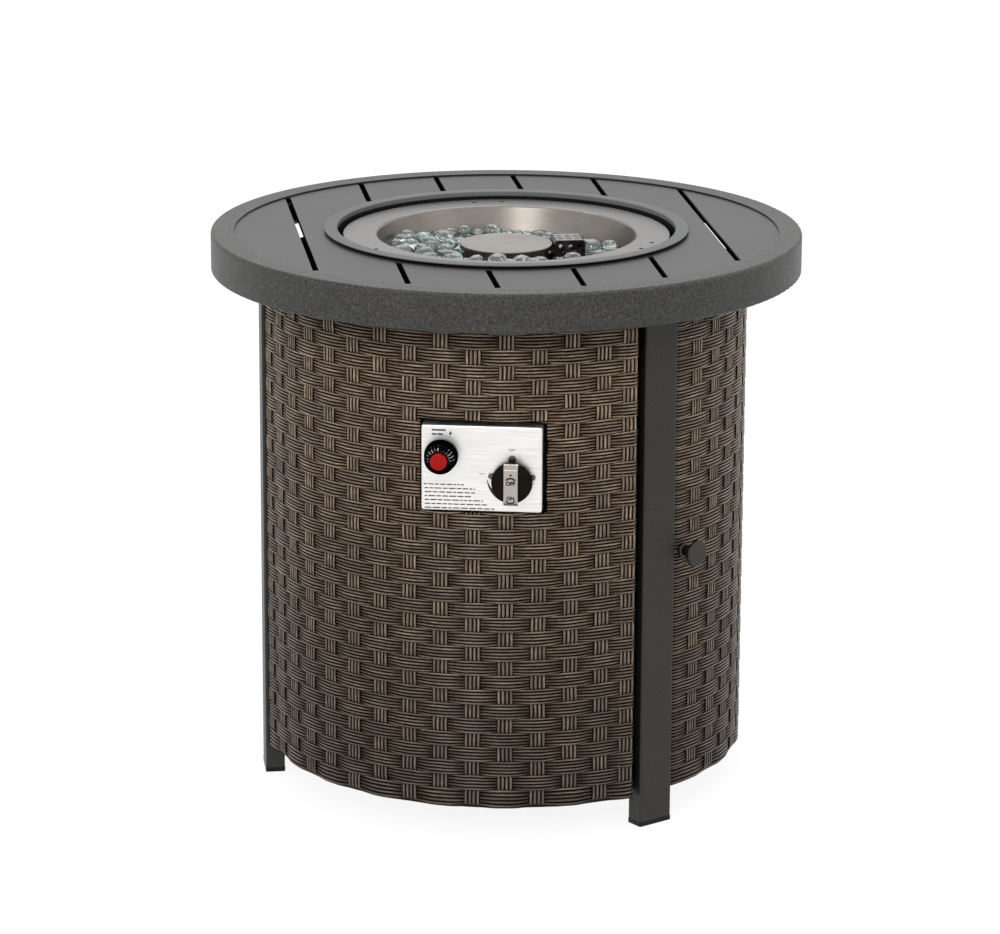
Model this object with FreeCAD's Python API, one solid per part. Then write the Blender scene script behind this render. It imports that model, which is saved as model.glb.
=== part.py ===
import FreeCAD, Part
import math
import os

# Round gas fire pit table, 24 in across and 22.8 in tall, in millimetres.
# Origin on the floor under the centre of the bowl, +Z up. The deck slots run along Y.
# The legs stand at 180, -60 and 60 degrees, and the door is between the last two.

Vector = FreeCAD.Vector
up = Vector(0, 0, 1)
centre = Vector(0, 0, 0)

# Table top
top_diameter = 609.6
overall_height = 579.1
rim_top = 577.0
rim_depth = 39.8
rim_inner_r = 280.5
sheet = 2.0
deck_top = rim_top - sheet
slot_pitch = 84.7
slot_width = 6.0
slot_outer_r = 277.0
slot_inner_r = 194.0
slot_shift = 8.5
ring_outer_r = 188.0
ring_inner_r = 174.6
ring_wall = 1.4
ring_foot = 3.1
ring_setback = 3.0
ledge_z = 560.0
ledge_inner_r = 160.0
brace_height = 6.0
inner_brace_r = (190.0, 202.0)
outer_brace_r = (236.0, 262.0)

# Bowl and burner
flange_z = 572.0
flange_outer_r = 169.0
mouth_r = 134.0
floor_r = 118.0
bowl_floor_z = 513.0
bowl_sheet = 0.8
wall_lean = (mouth_r - floor_r) / (flange_z - bowl_floor_z)
guard_hole_r = 2.5
guard_circle_r = 155.5
guard_pairs = (90, -30, -150)
guard_half_angle = 5.5
burner_r = 44.0
burner_cap_r = 48.0
burner_cap_top = 561.5
spigot_r = 10.5
spigot_end = 490.0
elbow_r = 13.0
elbow_z = (482.0, 503.5)
mixer_r = 9.0
mixer_end = 58.0
pipe_z = 492.0
pipe_start = 72.0
lead_z = 484.0
pilot_x = 64.0
pilot_size = (32.0, 32.0, 52.8)
probe_spot = (pilot_x + 5.0, 2.5)
spark_spot = (pilot_x - 5.0, -2.5)
shield_z = 479.0
shield_r = 160.0

# Fire glass
glass_bed_top = 546.0
bead_r = 10.0
bead_height = 12.0
bead_rows = (60.0, 81.0, 102.0, 116.5)
heap_rows = (70.5, 91.5, 109.5)

# Legs and body
leg_angles = {"left": 180, "front": -60, "rear": 60}
leg_width = 40.0
leg_depth = 20.0
leg_wall = 1.5
leg_outer = 255.6
leg_inner = leg_outer - leg_depth
foot_height = 4.5
leg_top = deck_top - sheet - brace_height
body_r = 250.0
roll_r = 4.4
roll_centre_r = body_r - roll_r
panel_side_r = roll_centre_r + 2.8
skin_r = (245.0, 249.4)
bar_r = (238.0, 241.0)
panel_bottom = 33.0
panel_top = 540.0
door_top = 530.0
panel_gap = 4.75
door_gap = 6.0
base_ring_r = (224.0, 228.0)
base_ring_z = (36.0, 56.0)
tray_r = 160.0
tray_flange_r = 190.0
tray_z = (12.0, 41.5)
tray_sheet = 1.5
tank_ring_r = (103.0, 105.0)
tank_ring_height = 25.0
pivot_r = 244.0
pivot_angle = 50.8
pin_r = 2.0
running_gap = 0.05
knob_angle = -51.4
knob_z = 283.0

# Control plate, in its own frame: X outward, Y to the right, turned to control_angle
control_angle = -102.7
plate_face = 252.5
plate_width = 120.0
plate_height = 88.0
plate_z = 388.0
plate_depth = 26.5
plate_sheet = 1.2
valve_y = 30.4
valve_z = 376.0
valve_line_x = 222.0
inlet_x = 205.0
inlet_top = valve_z - 27.0
valve_front = plate_face - plate_sheet
knob_r = 20.5
knob_travel = 3.0
igniter_y = -39.8
igniter_z = 401.2
button_travel = 4.0


def box(x0, x1, y0, y1, z0, z1):
    return Part.makeBox(x1 - x0, y1 - y0, z1 - z0, Vector(x0, y0, z0))


def rod(radius, z0, z1, x=0.0, y=0.0):
    return Part.makeCylinder(radius, z1 - z0, Vector(x, y, z0), up)


def rod_x(radius, x0, x1, y, z):
    return Part.makeCylinder(radius, x1 - x0, Vector(x0, y, z), Vector(1, 0, 0))


def rod_y(radius, y0, y1, x, z):
    return Part.makeCylinder(radius, y1 - y0, Vector(x, y0, z), Vector(0, 1, 0))


def pipe_ring(inner, outer, z0, z1):
    return rod(outer, z0, z1).cut(rod(inner, z0 - 1, z1 + 1))


def turned(shape, angle):
    copy = shape.copy()
    copy.rotate(centre, up, angle)
    return copy


def polar(radius, angle, z=0.0):
    a = math.radians(angle)
    return Vector(radius * math.cos(a), radius * math.sin(a), z)


def fused(shapes):
    first = shapes[0]
    return first.fuse(shapes[1:]).removeSplitter()


def save(name, shape):
    shape.exportStep("parts/" + name + ".step")


def rounded_outline(corners):
    """Closed wire in the XZ plane; each corner is (x, z, radius)."""
    edges = []
    ends = []
    count = len(corners)
    for i in range(count):
        x, z, radius = corners[i]
        here = Vector(x, 0, z)
        if radius == 0:
            ends.append((here, here, None))
            continue
        before = Vector(corners[i - 1][0], 0, corners[i - 1][1])
        after = Vector(corners[(i + 1) % count][0], 0, corners[(i + 1) % count][1])
        back = (before - here).normalize()
        ahead = (after - here).normalize()
        half = back.getAngle(ahead) / 2
        reach = radius / math.tan(half)
        middle = (back + ahead).normalize() * (radius / math.sin(half) - radius)
        ends.append((here + back * reach, here + ahead * reach, here + middle))
    for i in range(count):
        start, finish, middle = ends[i]
        if middle is not None:
            edges.append(Part.Arc(start, middle, finish).toShape())
        following = ends[(i + 1) % count][0]
        if finish.distanceToPoint(following) > 1e-6:
            edges.append(Part.LineSegment(finish, following).toShape())
    return Part.Wire(edges)


def revolved(corners):
    return Part.Face(rounded_outline(corners)).revolve(centre, up, 360)


def sector(r0, r1, z0, z1, start, finish):
    face = Part.Face(rounded_outline([(r0, z0, 0), (r1, z0, 0), (r1, z1, 0), (r0, z1, 0)]))
    return turned(face.revolve(centre, up, finish - start), start)


def bent_tube(points, bend_radius, radius):
    """Round tube along straight runs joined by tangent arcs."""
    edges = []
    start = points[0]
    for i in range(1, len(points) - 1):
        here = points[i]
        back = (points[i - 1] - here).normalize()
        ahead = (points[i + 1] - here).normalize()
        half = back.getAngle(ahead) / 2
        reach = bend_radius / math.tan(half)
        middle = here + (back + ahead).normalize() * (bend_radius / math.sin(half) - bend_radius)
        edges.append(Part.LineSegment(start, here + back * reach).toShape())
        edges.append(Part.Arc(here + back * reach, middle, here + ahead * reach).toShape())
        start = here + ahead * reach
    edges.append(Part.LineSegment(start, points[-1]).toShape())
    path = Part.Wire(edges)
    section = Part.Wire(Part.Circle(points[0], points[1] - points[0], radius).toShape())
    tube = path.makePipeShell([section], True, False)
    print("tube", round(path.Length), "mm, volume ratio",
          round(tube.Volume / (path.Length * math.pi * radius ** 2), 3), "bend", bend_radius)
    return tube


def hexagon(across_flats, x0, x1, y, z):
    corner = across_flats / math.sqrt(3)
    points = []
    for k in range(7):
        a = math.radians(60 * k)
        points.append(Vector(x0, y + corner * math.cos(a), z + corner * math.sin(a)))
    return Part.Face(Part.makePolygon(points)).extrude(Vector(x1 - x0, 0, 0))


# Table top

def make_rim():
    outer = top_diameter / 2
    bottom = rim_top - rim_depth
    return revolved([
        (rim_inner_r, deck_top, 0), (outer - sheet, deck_top, 1.0),
        (outer - sheet, bottom, 0), (outer, bottom, 1.8),
        (outer, rim_top, 3.0), (rim_inner_r, rim_top, 0.8)])


def slot_ends(x):
    """Far and near ends of the slots on the line at x, from the back of the deck forwards."""
    outer = math.sqrt(slot_outer_r ** 2 - x ** 2)
    if abs(x) > slot_inner_r:
        return [(slot_shift - outer, slot_shift + outer)]
    inner = math.sqrt(slot_inner_r ** 2 - x ** 2)
    return [(slot_shift - outer, slot_shift - inner), (slot_shift + inner, slot_shift + outer)]


def make_deck():
    deck = pipe_ring(ring_inner_r + ring_wall + 0.2, top_diameter / 2 - sheet - 1.4,
                     deck_top - sheet, deck_top)
    for k in range(6):
        x = slot_pitch * (k - 2.5)
        for y0, y1 in slot_ends(x):
            half = slot_width / 2
            deck = deck.cut(box(x - half, x + half, y0, y1, deck_top - 5, deck_top + 5))
    return deck


def make_centre_ring():
    """Flat ring whose edge overhangs its foot on the deck, with the ledge that holds the bowl."""
    wall = ring_inner_r + ring_wall
    foot_r = ring_outer_r - ring_setback
    return revolved([
        (foot_r, deck_top, 0), (foot_r, deck_top + ring_foot, 0),
        (ring_outer_r, deck_top + ring_foot, 0.2), (ring_outer_r, overall_height, 0.7),
        (ring_inner_r, overall_height, 1.3), (ring_inner_r, ledge_z, 0.5),
        (ledge_inner_r, ledge_z, 0), (ledge_inner_r, ledge_z - ring_wall, 0),
        (wall, ledge_z - ring_wall, 1.0), (wall, deck_top, 0)])


def make_top_frame():
    top = deck_top - sheet
    bottom = top - brace_height
    parts = [pipe_ring(inner_brace_r[0], inner_brace_r[1], bottom, top),
             pipe_ring(outer_brace_r[0], outer_brace_r[1], bottom, top)]
    for k in range(6):
        spoke = box(inner_brace_r[0] + 1, top_diameter / 2 - sheet - 0.5, -12.5, 12.5, bottom, top)
        parts.append(turned(spoke, 30 + 60 * k))
    frame = fused(parts)
    for angle in leg_angles.values():
        tab = box(leg_inner - sheet, leg_inner, -15, 15, bottom - 32, bottom)
        post = box(leg_inner - sheet, leg_inner + 4, -15, 15, bottom, bottom + 3)
        frame = frame.fuse([turned(tab, angle), turned(post, angle)])
    for angle in leg_angles.values():
        frame = frame.cut(turned(rod_x(3.0, leg_inner - 10, leg_inner + 1, 0, leg_top - 17), angle))
    return frame.removeSplitter()


# Bowl and burner

def wall_r(z):
    """Radius of the bowl's inner wall at height z."""
    return mouth_r - (flange_z - z) * wall_lean


def make_bowl():
    under = bowl_sheet
    lean_sheet = bowl_sheet * math.sqrt(1 + wall_lean ** 2)
    bowl = revolved([
        (flange_outer_r, ledge_z, 0), (flange_outer_r, flange_z, 1.2),
        (mouth_r, flange_z, 3.0), (floor_r, bowl_floor_z, 8.0),
        (spigot_r, bowl_floor_z, 0), (spigot_r, bowl_floor_z - under, 0),
        (wall_r(bowl_floor_z - under) + lean_sheet, bowl_floor_z - under, 8.8),
        (wall_r(flange_z - under) + lean_sheet, flange_z - under, 2.2),
        (flange_outer_r - under, flange_z - under, 0.4), (flange_outer_r - under, ledge_z, 0)])
    holes = []
    for pair in guard_pairs:
        for side in (-guard_half_angle, guard_half_angle):
            spot = polar(guard_circle_r, pair + side)
            holes.append(rod(guard_hole_r, flange_z - 3, flange_z + 3, spot.x, spot.y))
    for angle in (45, 135, 225, 315):
        spot = polar(95, angle)
        holes.append(rod(3.0, bowl_floor_z - 3, bowl_floor_z + 3, spot.x, spot.y))
    holes.append(rod(8.0, bowl_floor_z - 3, bowl_floor_z + 3, pilot_x))
    return bowl.cut(holes)


def make_burner_base():
    wall = 1.2
    cup_top = burner_cap_top - sheet
    cup = revolved([
        (8.0, bowl_floor_z + wall, 0), (burner_r - wall, bowl_floor_z + wall, 0),
        (burner_r - wall, cup_top, 0), (burner_r, cup_top, 0),
        (burner_r, bowl_floor_z, 2.0), (spigot_r, bowl_floor_z, 0),
        (spigot_r, spigot_end, 0), (8.0, spigot_end, 0)])
    ports = []
    for row, z in enumerate((cup_top - 7, cup_top - 17)):
        for k in range(24):
            port = box(burner_r - 4, burner_r + 2, -1.3, 1.3, z - 3.2, z + 3.2)
            ports.append(turned(port, 15 * k + 7.5 * row))
    return cup.cut(ports)


def make_burner_cap():
    return revolved([
        (0, burner_cap_top - sheet, 0), (burner_cap_r - 1.2, burner_cap_top - sheet, 0),
        (burner_cap_r - 1.2, burner_cap_top - 5, 0), (burner_cap_r, burner_cap_top - 5, 0),
        (burner_cap_r, burner_cap_top, 1.5), (0, burner_cap_top, 0)])


def make_burner_nut():
    top = bowl_floor_z - bowl_sheet
    nut = hexagon(30, 0, 8, 0, 0)
    nut.rotate(centre, Vector(0, 1, 0), -90)
    nut.translate(Vector(0, 0, top - 8))
    return nut.cut(rod(spigot_r, top - 9, top + 1))


def make_air_mixer(pipe_angle):
    """Elbow under the bowl and the tube with air windows that feeds it."""
    elbow = rod(elbow_r, elbow_z[0], elbow_z[1])
    tube = rod_x(mixer_r, elbow_r - 4, mixer_end, 0, pipe_z)
    cuts = [rod(spigot_r, spigot_end, elbow_z[1] + 1), rod(7.0, elbow_z[0] + 2, spigot_end + 1),
            rod_x(mixer_r - 2, 0, mixer_end - 6, 0, pipe_z), rod_x(5.0, 0, mixer_end + 1, 0, pipe_z),
            box(mixer_end - 22, mixer_end - 9, -12, 12, pipe_z - 3, pipe_z + 3)]
    return turned(fused([elbow, tube]).cut(cuts), pipe_angle)


def make_orifice(pipe_angle):
    jet = rod_x(5.0, mixer_end - 4, mixer_end, 0, pipe_z)
    fitting = hexagon(14, mixer_end, pipe_start, 0, pipe_z)
    cuts = [rod_x(0.8, mixer_end - 5, pipe_start, 0, pipe_z),
            rod_x(3.0, mixer_end + 2, pipe_start + 1, 0, pipe_z)]
    return turned(fused([jet, fitting]).cut(cuts), pipe_angle)


def make_pilot_shield():
    length, width, height = pilot_size
    z0 = bowl_floor_z
    x0 = pilot_x - length / 2
    y0 = -width / 2
    shell = box(x0, x0 + length, y0, y0 + width, z0, z0 + height)
    edges = [e for e in shell.Edges if abs(e.BoundBox.ZMin - (z0 + height)) < 0.01
             and e.BoundBox.YLength > 1]
    shell = shell.makeFillet(4.0, edges)
    shell = shell.cut(box(x0 + 1, x0 + length - 1, y0 + 1, y0 + width - 1, z0 - 1, z0 + height - 1.2))
    cuts = []
    for row, columns in enumerate(((-10, 0, 10), (-5, 5), (-10, 0, 10), (-5, 5), (-10, 0, 10))):
        for column in columns:
            cuts.append(rod_y(2.3, y0 - 5, y0 + width + 5, pilot_x + column, z0 + height - 6 - 7 * row))
    for column in (-9, 0, 9):
        for row in (-8, 0, 8):
            cuts.append(box(pilot_x + column - 3, pilot_x + column + 3, row - 1.3, row + 1.3,
                            z0 + height - 5, z0 + height + 5))
    return shell.cut(cuts)


def make_pilot_bracket():
    plate = box(pilot_x - 14, pilot_x + 14, -14, 14, bowl_floor_z, bowl_floor_z + 1.5)
    stand = box(pilot_x - 13, pilot_x + 13, 9, 10.5, bowl_floor_z + 1.5, bowl_floor_z + 26)
    cross = box(pilot_x - 13, pilot_x + 13, -6, 9, bowl_floor_z + 24.5, bowl_floor_z + 26)
    holes = [rod(7.6, bowl_floor_z - 1, bowl_floor_z + 3, pilot_x),
             rod(2.0, bowl_floor_z + 20, bowl_floor_z + 30, *probe_spot),
             rod(2.2, bowl_floor_z + 20, bowl_floor_z + 30, *spark_spot)]
    return fused([plate, stand, cross]).cut(holes)


def make_leads(rear_probe, rear_spark):
    """Thermocouple with its capillary, spark electrode, and the lead that feeds it."""
    z0 = bowl_floor_z + 20
    probe_turn = rear_probe + polar(-24, control_angle)
    probe_path = [Vector(*probe_spot, z0), Vector(*probe_spot, lead_z),
                  Vector(probe_turn.x, probe_turn.y, lead_z), probe_turn, rear_probe]
    probe = fused([bent_tube(probe_path, 18.0, 1.3),
                   rod(2.0, z0, bowl_floor_z + 40, *probe_spot)])
    electrode = fused([rod(2.2, z0 + 2, bowl_floor_z + 32, *spark_spot),
                       rod(1.0, bowl_floor_z + 30, bowl_floor_z + 44, *spark_spot)])
    spark_turn = rear_spark + polar(-20, control_angle)
    spark_path = [Vector(*spark_spot, z0 + 2), Vector(*spark_spot, lead_z),
                  Vector(spark_turn.x, spark_turn.y, lead_z), spark_turn, rear_spark]
    return probe, electrode, bent_tube(spark_path, 18.0, 1.5)


def make_heat_shield():
    return rod(shield_r, shield_z, shield_z + 1)


def make_shield_hangers():
    low = shield_z + 1
    high = deck_top - sheet - brace_height
    hangers = []
    for angle in (0, 120, 240):
        foot = box(shield_r - 15, 192.5, -8, 8, low, low + 1.5)
        strap = box(191, 192.5, -8, 8, low, high)
        tab = box(191, 201, -8, 8, high - 1.5, high)
        hangers.append(turned(fused([foot, strap, tab]), angle))
    return Part.makeCompound(hangers)


# Fire glass

def make_glass_bed():
    bed = revolved([
        (burner_cap_r + 0.6, bowl_floor_z + 0.1, 0), (floor_r - 8, bowl_floor_z + 0.1, 0),
        (wall_r(bowl_floor_z + 9) - 0.4, bowl_floor_z + 9, 0),
        (wall_r(glass_bed_top) - 0.4, glass_bed_top, 0), (burner_cap_r + 0.6, glass_bed_top, 0)])
    half = pilot_size[0] / 2 + 0.3
    return bed.cut(box(pilot_x - half, pilot_x + half, -half, half, bowl_floor_z - 1, glass_bed_top + 1))


def make_bead(spot):
    half = bead_height / 2
    flat = bead_r - half
    wire = Part.Wire([
        Part.LineSegment(Vector(0, 0, -half), Vector(flat, 0, -half)).toShape(),
        Part.Arc(Vector(flat, 0, -half), Vector(bead_r, 0, 0), Vector(flat, 0, half)).toShape(),
        Part.LineSegment(Vector(flat, 0, half), Vector(0, 0, half)).toShape(),
        Part.LineSegment(Vector(0, 0, half), Vector(0, 0, -half)).toShape()])
    bead = Part.Face(wire).revolve(centre, up, 360)
    bead.translate(spot)
    return bead


def make_fire_glass():
    beads = []
    clear = pilot_size[0] / 2 + bead_r
    for row, radius in enumerate(bead_rows):
        count = int(2 * math.pi * radius / (2 * bead_r + 0.6))
        for k in range(count):
            spot = polar(radius, 360 * k / count + 5 * row, glass_bed_top + bead_height / 2)
            if abs(spot.x - pilot_x) > clear or abs(spot.y) > clear:
                beads.append(make_bead(spot))
    for radius in heap_rows:
        count = int(math.pi * radius / (2 * bead_r + 0.6))
        for k in range(count):
            spot = polar(radius, 110 + 180 * k / count, glass_bed_top + bead_height * 1.5 - 1)
            beads.append(make_bead(spot))
    return Part.makeCompound(beads)


# Legs, base and shelf

def make_leg(angle):
    half = leg_width / 2
    outside = box(leg_inner, leg_outer, -half, half, foot_height, leg_top)
    outside = outside.makeFillet(2.0, [e for e in outside.Edges if e.BoundBox.ZLength > 100])
    hollow = box(leg_inner + leg_wall, leg_outer - leg_wall, leg_wall - half, half - leg_wall,
                 foot_height - 1, leg_top + 1)
    leg = outside.cut(hollow)
    for z in (base_ring_z[0] + 10, leg_top - 17):
        leg = leg.cut(rod_x(3.0, leg_inner - 1, leg_inner + leg_wall + 1, 0, z))
    return turned(leg, angle)


def make_foot(angle):
    half = leg_width / 2
    cap = box(leg_inner - 0.3, leg_outer + 0.3, -half - 0.3, half + 0.3, 0, foot_height)
    cap = cap.makeFillet(2.0, [e for e in cap.Edges if e.BoundBox.ZLength > 1])
    plug = box(leg_inner + leg_wall, leg_outer - leg_wall, leg_wall - half, half - leg_wall,
               foot_height, foot_height + 18)
    return turned(cap.fuse(plug), angle)


def make_base_frame():
    z0, z1 = base_ring_z
    parts = [pipe_ring(base_ring_r[0], base_ring_r[1], z0, z1)]
    for angle in leg_angles.values():
        parts.append(turned(box(base_ring_r[1] - 2, leg_inner, -12, 12, z0, z1), angle))
        arm = box(tray_r + 12, base_ring_r[0] + 1, -15, 15, z0, tray_z[1] - tray_sheet)
        parts.append(turned(arm, angle))
    frame = fused(parts)
    for angle in leg_angles.values():
        frame = frame.cut(turned(rod_x(3.0, base_ring_r[0] - 3, leg_inner + 1, 0, z0 + 10), angle))
    return frame


def make_leg_bolts():
    bolts = []
    lower_seat = base_ring_r[0] - 0.3
    for angle in leg_angles.values():
        for seat, z in ((lower_seat, base_ring_z[0] + 10), (leg_inner - sheet, leg_top - 17)):
            shank = rod_x(3.0, seat, leg_inner + leg_wall + 3, 0, z)
            head = hexagon(10, seat - 4, seat, 0, z)
            bolts.append(turned(fused([head, shank]), angle))
    return Part.makeCompound(bolts)


def make_tray():
    """Pressed tray, hung in the base frame, with a vent hole in the middle of its floor."""
    low, high = tray_z
    return revolved([
        (60, low, 0), (tray_r + tray_sheet, low, 4.0), (tray_r + tray_sheet, high - tray_sheet, 1.5),
        (tray_flange_r, high - tray_sheet, 0), (tray_flange_r, high, 0),
        (tray_r, high, 3.0), (tray_r, low + tray_sheet, 2.5), (60, low + tray_sheet, 0)])


def make_tank_ring():
    floor = tray_z[0] + tray_sheet
    return pipe_ring(tank_ring_r[0], tank_ring_r[1], floor, floor + tank_ring_height)


# Woven panels and their frames

def make_woven(start, finish, top, side_r):
    """Curved woven skin with a rolled edge all round; side_r is where its side edges are centred."""
    trim = math.degrees(roll_r / roll_centre_r)
    a0 = start + trim
    a1 = finish - trim
    z0 = panel_bottom + roll_r
    z1 = top - roll_r
    pieces = [sector(skin_r[0], skin_r[1], z0, z1, a0, a1)]
    for z in (z0, z1):
        circle = Part.Wire(Part.Circle(Vector(roll_centre_r, 0, z), Vector(0, 1, 0), roll_r).toShape())
        pieces.append(turned(Part.Face(circle).revolve(centre, up, a1 - a0), a0))
    for angle in (a0, a1):
        spot = polar(side_r, angle)
        pieces.append(rod(roll_r, z0, z1, spot.x, spot.y))
        for z in (z0, z1):
            pieces.append(Part.makeSphere(roll_r, Vector(spot.x, spot.y, z)))
    return fused(pieces)


def make_panel_frame(start, finish, top, rails):
    """Flat-bar frame behind a woven skin: two stiles and a rail at each height."""
    r0, r1 = bar_r
    stile = 3.2
    pieces = [sector(r0, r1, panel_bottom + 3, top - 3, start + 0.4, start + 0.4 + stile),
              sector(r0, r1, panel_bottom + 3, top - 3, finish - 0.4 - stile, finish - 0.4)]
    for z in rails:
        pieces.append(sector(r0, r1, z, z + 16, start + 0.4, finish - 0.4))
    return fused(pieces)


def add_leg_tabs(frame, start, finish, gap):
    """Tabs that join a fixed panel's stiles to the legs beside it."""
    pieces = [frame]
    for z in (70, 285, 490):
        for inner, outer in ((start - gap + 4.92, start + 2), (finish - 2, finish + gap - 4.92)):
            pieces.append(sector(leg_inner + 0.2, bar_r[0] + 0.5, z, z + 20, inner, outer))
    return fused(pieces)


def panel_ends(side):
    if side == "front":
        return leg_angles["left"] - 360 + panel_gap, leg_angles["front"] - panel_gap
    if side == "back":
        return leg_angles["rear"] + panel_gap, leg_angles["left"] - panel_gap
    return leg_angles["front"] + door_gap, leg_angles["rear"] - door_gap


def make_front_panel():
    start, finish = panel_ends("front")
    half = plate_width / 2
    low = plate_z - plate_height / 2
    high = plate_z + plate_height / 2
    opening = turned(box(225, 262, -half - 1.8, half + 3.4, low - 2.0, high + 3.6), control_angle)
    skin = make_woven(start, finish, panel_top, panel_side_r).cut(opening)
    rails = (panel_bottom + 8, low - 24, high + 8, panel_top - 24)
    frame = add_leg_tabs(make_panel_frame(start, finish, panel_top, rails), start, finish, panel_gap)
    return skin, frame.fuse(make_plate_straps()).removeSplitter()


def make_back_panel():
    start, finish = panel_ends("back")
    rails = (panel_bottom + 8, 280, panel_top - 24)
    frame = add_leg_tabs(make_panel_frame(start, finish, panel_top, rails), start, finish, panel_gap)
    return make_woven(start, finish, panel_top, panel_side_r), frame


# Door, its pivots, knob and catch

def make_door():
    start, finish = panel_ends("door")
    pivot = polar(pivot_r, pivot_angle)
    knob_hole = turned(rod_x(2.1, 230, 256, 0, knob_z), knob_angle)
    frame = make_panel_frame(start, finish, door_top, (panel_bottom + 8, 280, door_top - 24))
    tubes = []
    bores = [knob_hole]
    for z0, z1 in ((panel_bottom, panel_bottom + 30), (door_top - 30, door_top)):
        tubes.append(rod(4.0, z0, z1, pivot.x, pivot.y))
        bores.append(rod(pin_r + running_gap, z0 - 1, z1 + 1, pivot.x, pivot.y))
    frame = frame.fuse(tubes).cut(bores)
    pockets = [knob_hole]
    for z0, z1 in ((panel_bottom - 1, panel_bottom + 30.3), (door_top - 30.3, door_top + 1)):
        pockets.append(turned(box(pivot_r - 8, pivot_r + 4.3, -4.3, 4.3, z0, z1), pivot_angle))
    return make_woven(start, finish, door_top, roll_centre_r).cut(pockets), frame


def make_pivot_bracket(z0):
    """Tab on the side of the rear leg that holds one pivot pin."""
    half = leg_width / 2
    spot = polar(pivot_r, pivot_angle - leg_angles["rear"])
    tab = box(leg_inner - 2, leg_outer - 6, spot.y - 8, -half, z0, z0 + 3)
    tab = tab.makeFillet(5.0, [e for e in tab.Edges if e.BoundBox.ZLength > 1 and e.BoundBox.YMax < spot.y])
    tab = tab.cut(rod(pin_r, z0 - 1, z0 + 4, spot.x, spot.y))
    return turned(tab, leg_angles["rear"])


def make_pivot_pins(low_z, high_z):
    spot = polar(pivot_r, pivot_angle)
    lower = fused([rod(pin_r, low_z, panel_bottom + 18, spot.x, spot.y),
                   rod(4.0, low_z - 2, low_z, spot.x, spot.y)])
    upper = fused([rod(pin_r, door_top - 18, high_z + 3, spot.x, spot.y),
                   rod(4.0, high_z + 3, high_z + 5, spot.x, spot.y)])
    return Part.makeCompound([lower, upper])


def make_thrust_washer(z0):
    spot = polar(pivot_r, pivot_angle)
    washer = rod(5.0, z0, z0 + 1.6, spot.x, spot.y)
    return washer.cut(rod(pin_r, z0 - 1, z0 + 2, spot.x, spot.y))


def make_catch():
    housing = sector(base_ring_r[1], 236.3, 41, 55, -48.5, -41.5)
    strike = sector(236.8, bar_r[0], 43, 57, -49.5, -40.5)
    return housing, strike


def make_door_knob():
    profile = [(0, 0, 0), (7.5, 0, 0), (7.5, 2.2, 1.0), (5.8, 3.6, 0), (6.2, 15.5, 0),
               (13.5, 17.0, 0.6), (13.5, 20.6, 1.4), (0, 20.6, 0)]
    knob = Part.Face(rounded_outline(profile)).revolve(centre, up, 360)
    knob = knob.cut(rod(2.0, -1, 12))
    knob.rotate(centre, Vector(0, 1, 0), 90)
    knob.translate(Vector(body_r + 0.1, 0, knob_z))
    screw = fused([rod_x(2.0, bar_r[0] - 2, body_r + 12, 0, knob_z),
                   rod_x(4.0, bar_r[0] - 5, bar_r[0] - 0.1, 0, knob_z)])
    return turned(knob, knob_angle), turned(screw, knob_angle)


# Control plate, gas valve and igniter

def make_plate_pan():
    half = plate_width / 2
    z0 = plate_z - plate_height / 2
    z1 = plate_z + plate_height / 2
    back = plate_face - plate_depth
    outside = box(back, plate_face, -half, half, z0, z1)
    inside = box(back - 1, plate_face - plate_sheet, plate_sheet - half, half - plate_sheet,
                 z0 + plate_sheet, z1 - plate_sheet)
    outside = outside.makeFillet(3.0, [e for e in outside.Edges if e.BoundBox.XLength > 20])
    outside = outside.makeFillet(2.5, [e for e in outside.Edges if e.BoundBox.XMin > plate_face - 0.01])
    inside = inside.makeFillet(1.8, [e for e in inside.Edges if e.BoundBox.XLength > 20])
    inside = inside.makeFillet(1.3, [e for e in inside.Edges
                                     if e.BoundBox.XMin > plate_face - plate_sheet - 0.01])
    return outside.cut(inside)


def valve_screw_spots():
    """Distance and direction of each mounting screw from the valve's axis, with its head's radius."""
    return [(22.6, 90, 4.0), (21.4, 166.5, 3.0), (20.8, 13.5, 3.0)]


def screw_place(reach, direction):
    a = math.radians(direction)
    return valve_y + reach * math.cos(a), valve_z + reach * math.sin(a)


def plate_screw_places():
    places = []
    for side in (-1, 1):
        for z in (plate_z - 30, plate_z + 30):
            places.append((side, z))
    return places


def make_control_plate():
    pan = make_plate_pan()
    front = plate_face - 4
    cuts = [rod_x(6.0, front, plate_face + 1, valve_y, valve_z),
            rod_x(11.1, front, plate_face + 1, igniter_y, igniter_z)]
    for reach, direction, head in valve_screw_spots():
        y, z = screw_place(reach, direction)
        cuts.append(rod_x(1.8, front, plate_face + 1, y, z))
    for side, z in plate_screw_places():
        cuts.append(rod_y(1.5, side * plate_width / 2 - 3, side * plate_width / 2 + 3, 229, z))
    return turned(pan.cut(cuts), control_angle)


def make_plate_straps():
    """Two straps, one down each side of the plate, from the rail above it to the rail below."""
    half = plate_width / 2
    straps = []
    for side in (-1, 1):
        y0, y1 = sorted((side * half, side * (half + 2)))
        strap = box(222, 232, y0, y1, plate_z - 66, plate_z + 66)
        for other, z in plate_screw_places():
            if other == side:
                strap = strap.cut(rod_y(1.5, y0 - 1, y1 + 1, 229, z))
        straps.append(turned(strap, control_angle))
    return straps


def make_plate_screws():
    half = plate_width / 2
    screws = []
    for side, z in plate_screw_places():
        inner, mid, outer = side * (half - 4), side * (half + 2), side * (half + 3.8)
        shank = rod_y(1.5, min(inner, mid), max(inner, mid), 229, z)
        head = rod_y(2.9, min(mid, outer), max(mid, outer), 229, z)
        screws.append(turned(fused([shank, head]), control_angle))
    return Part.makeCompound(screws)


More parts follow.
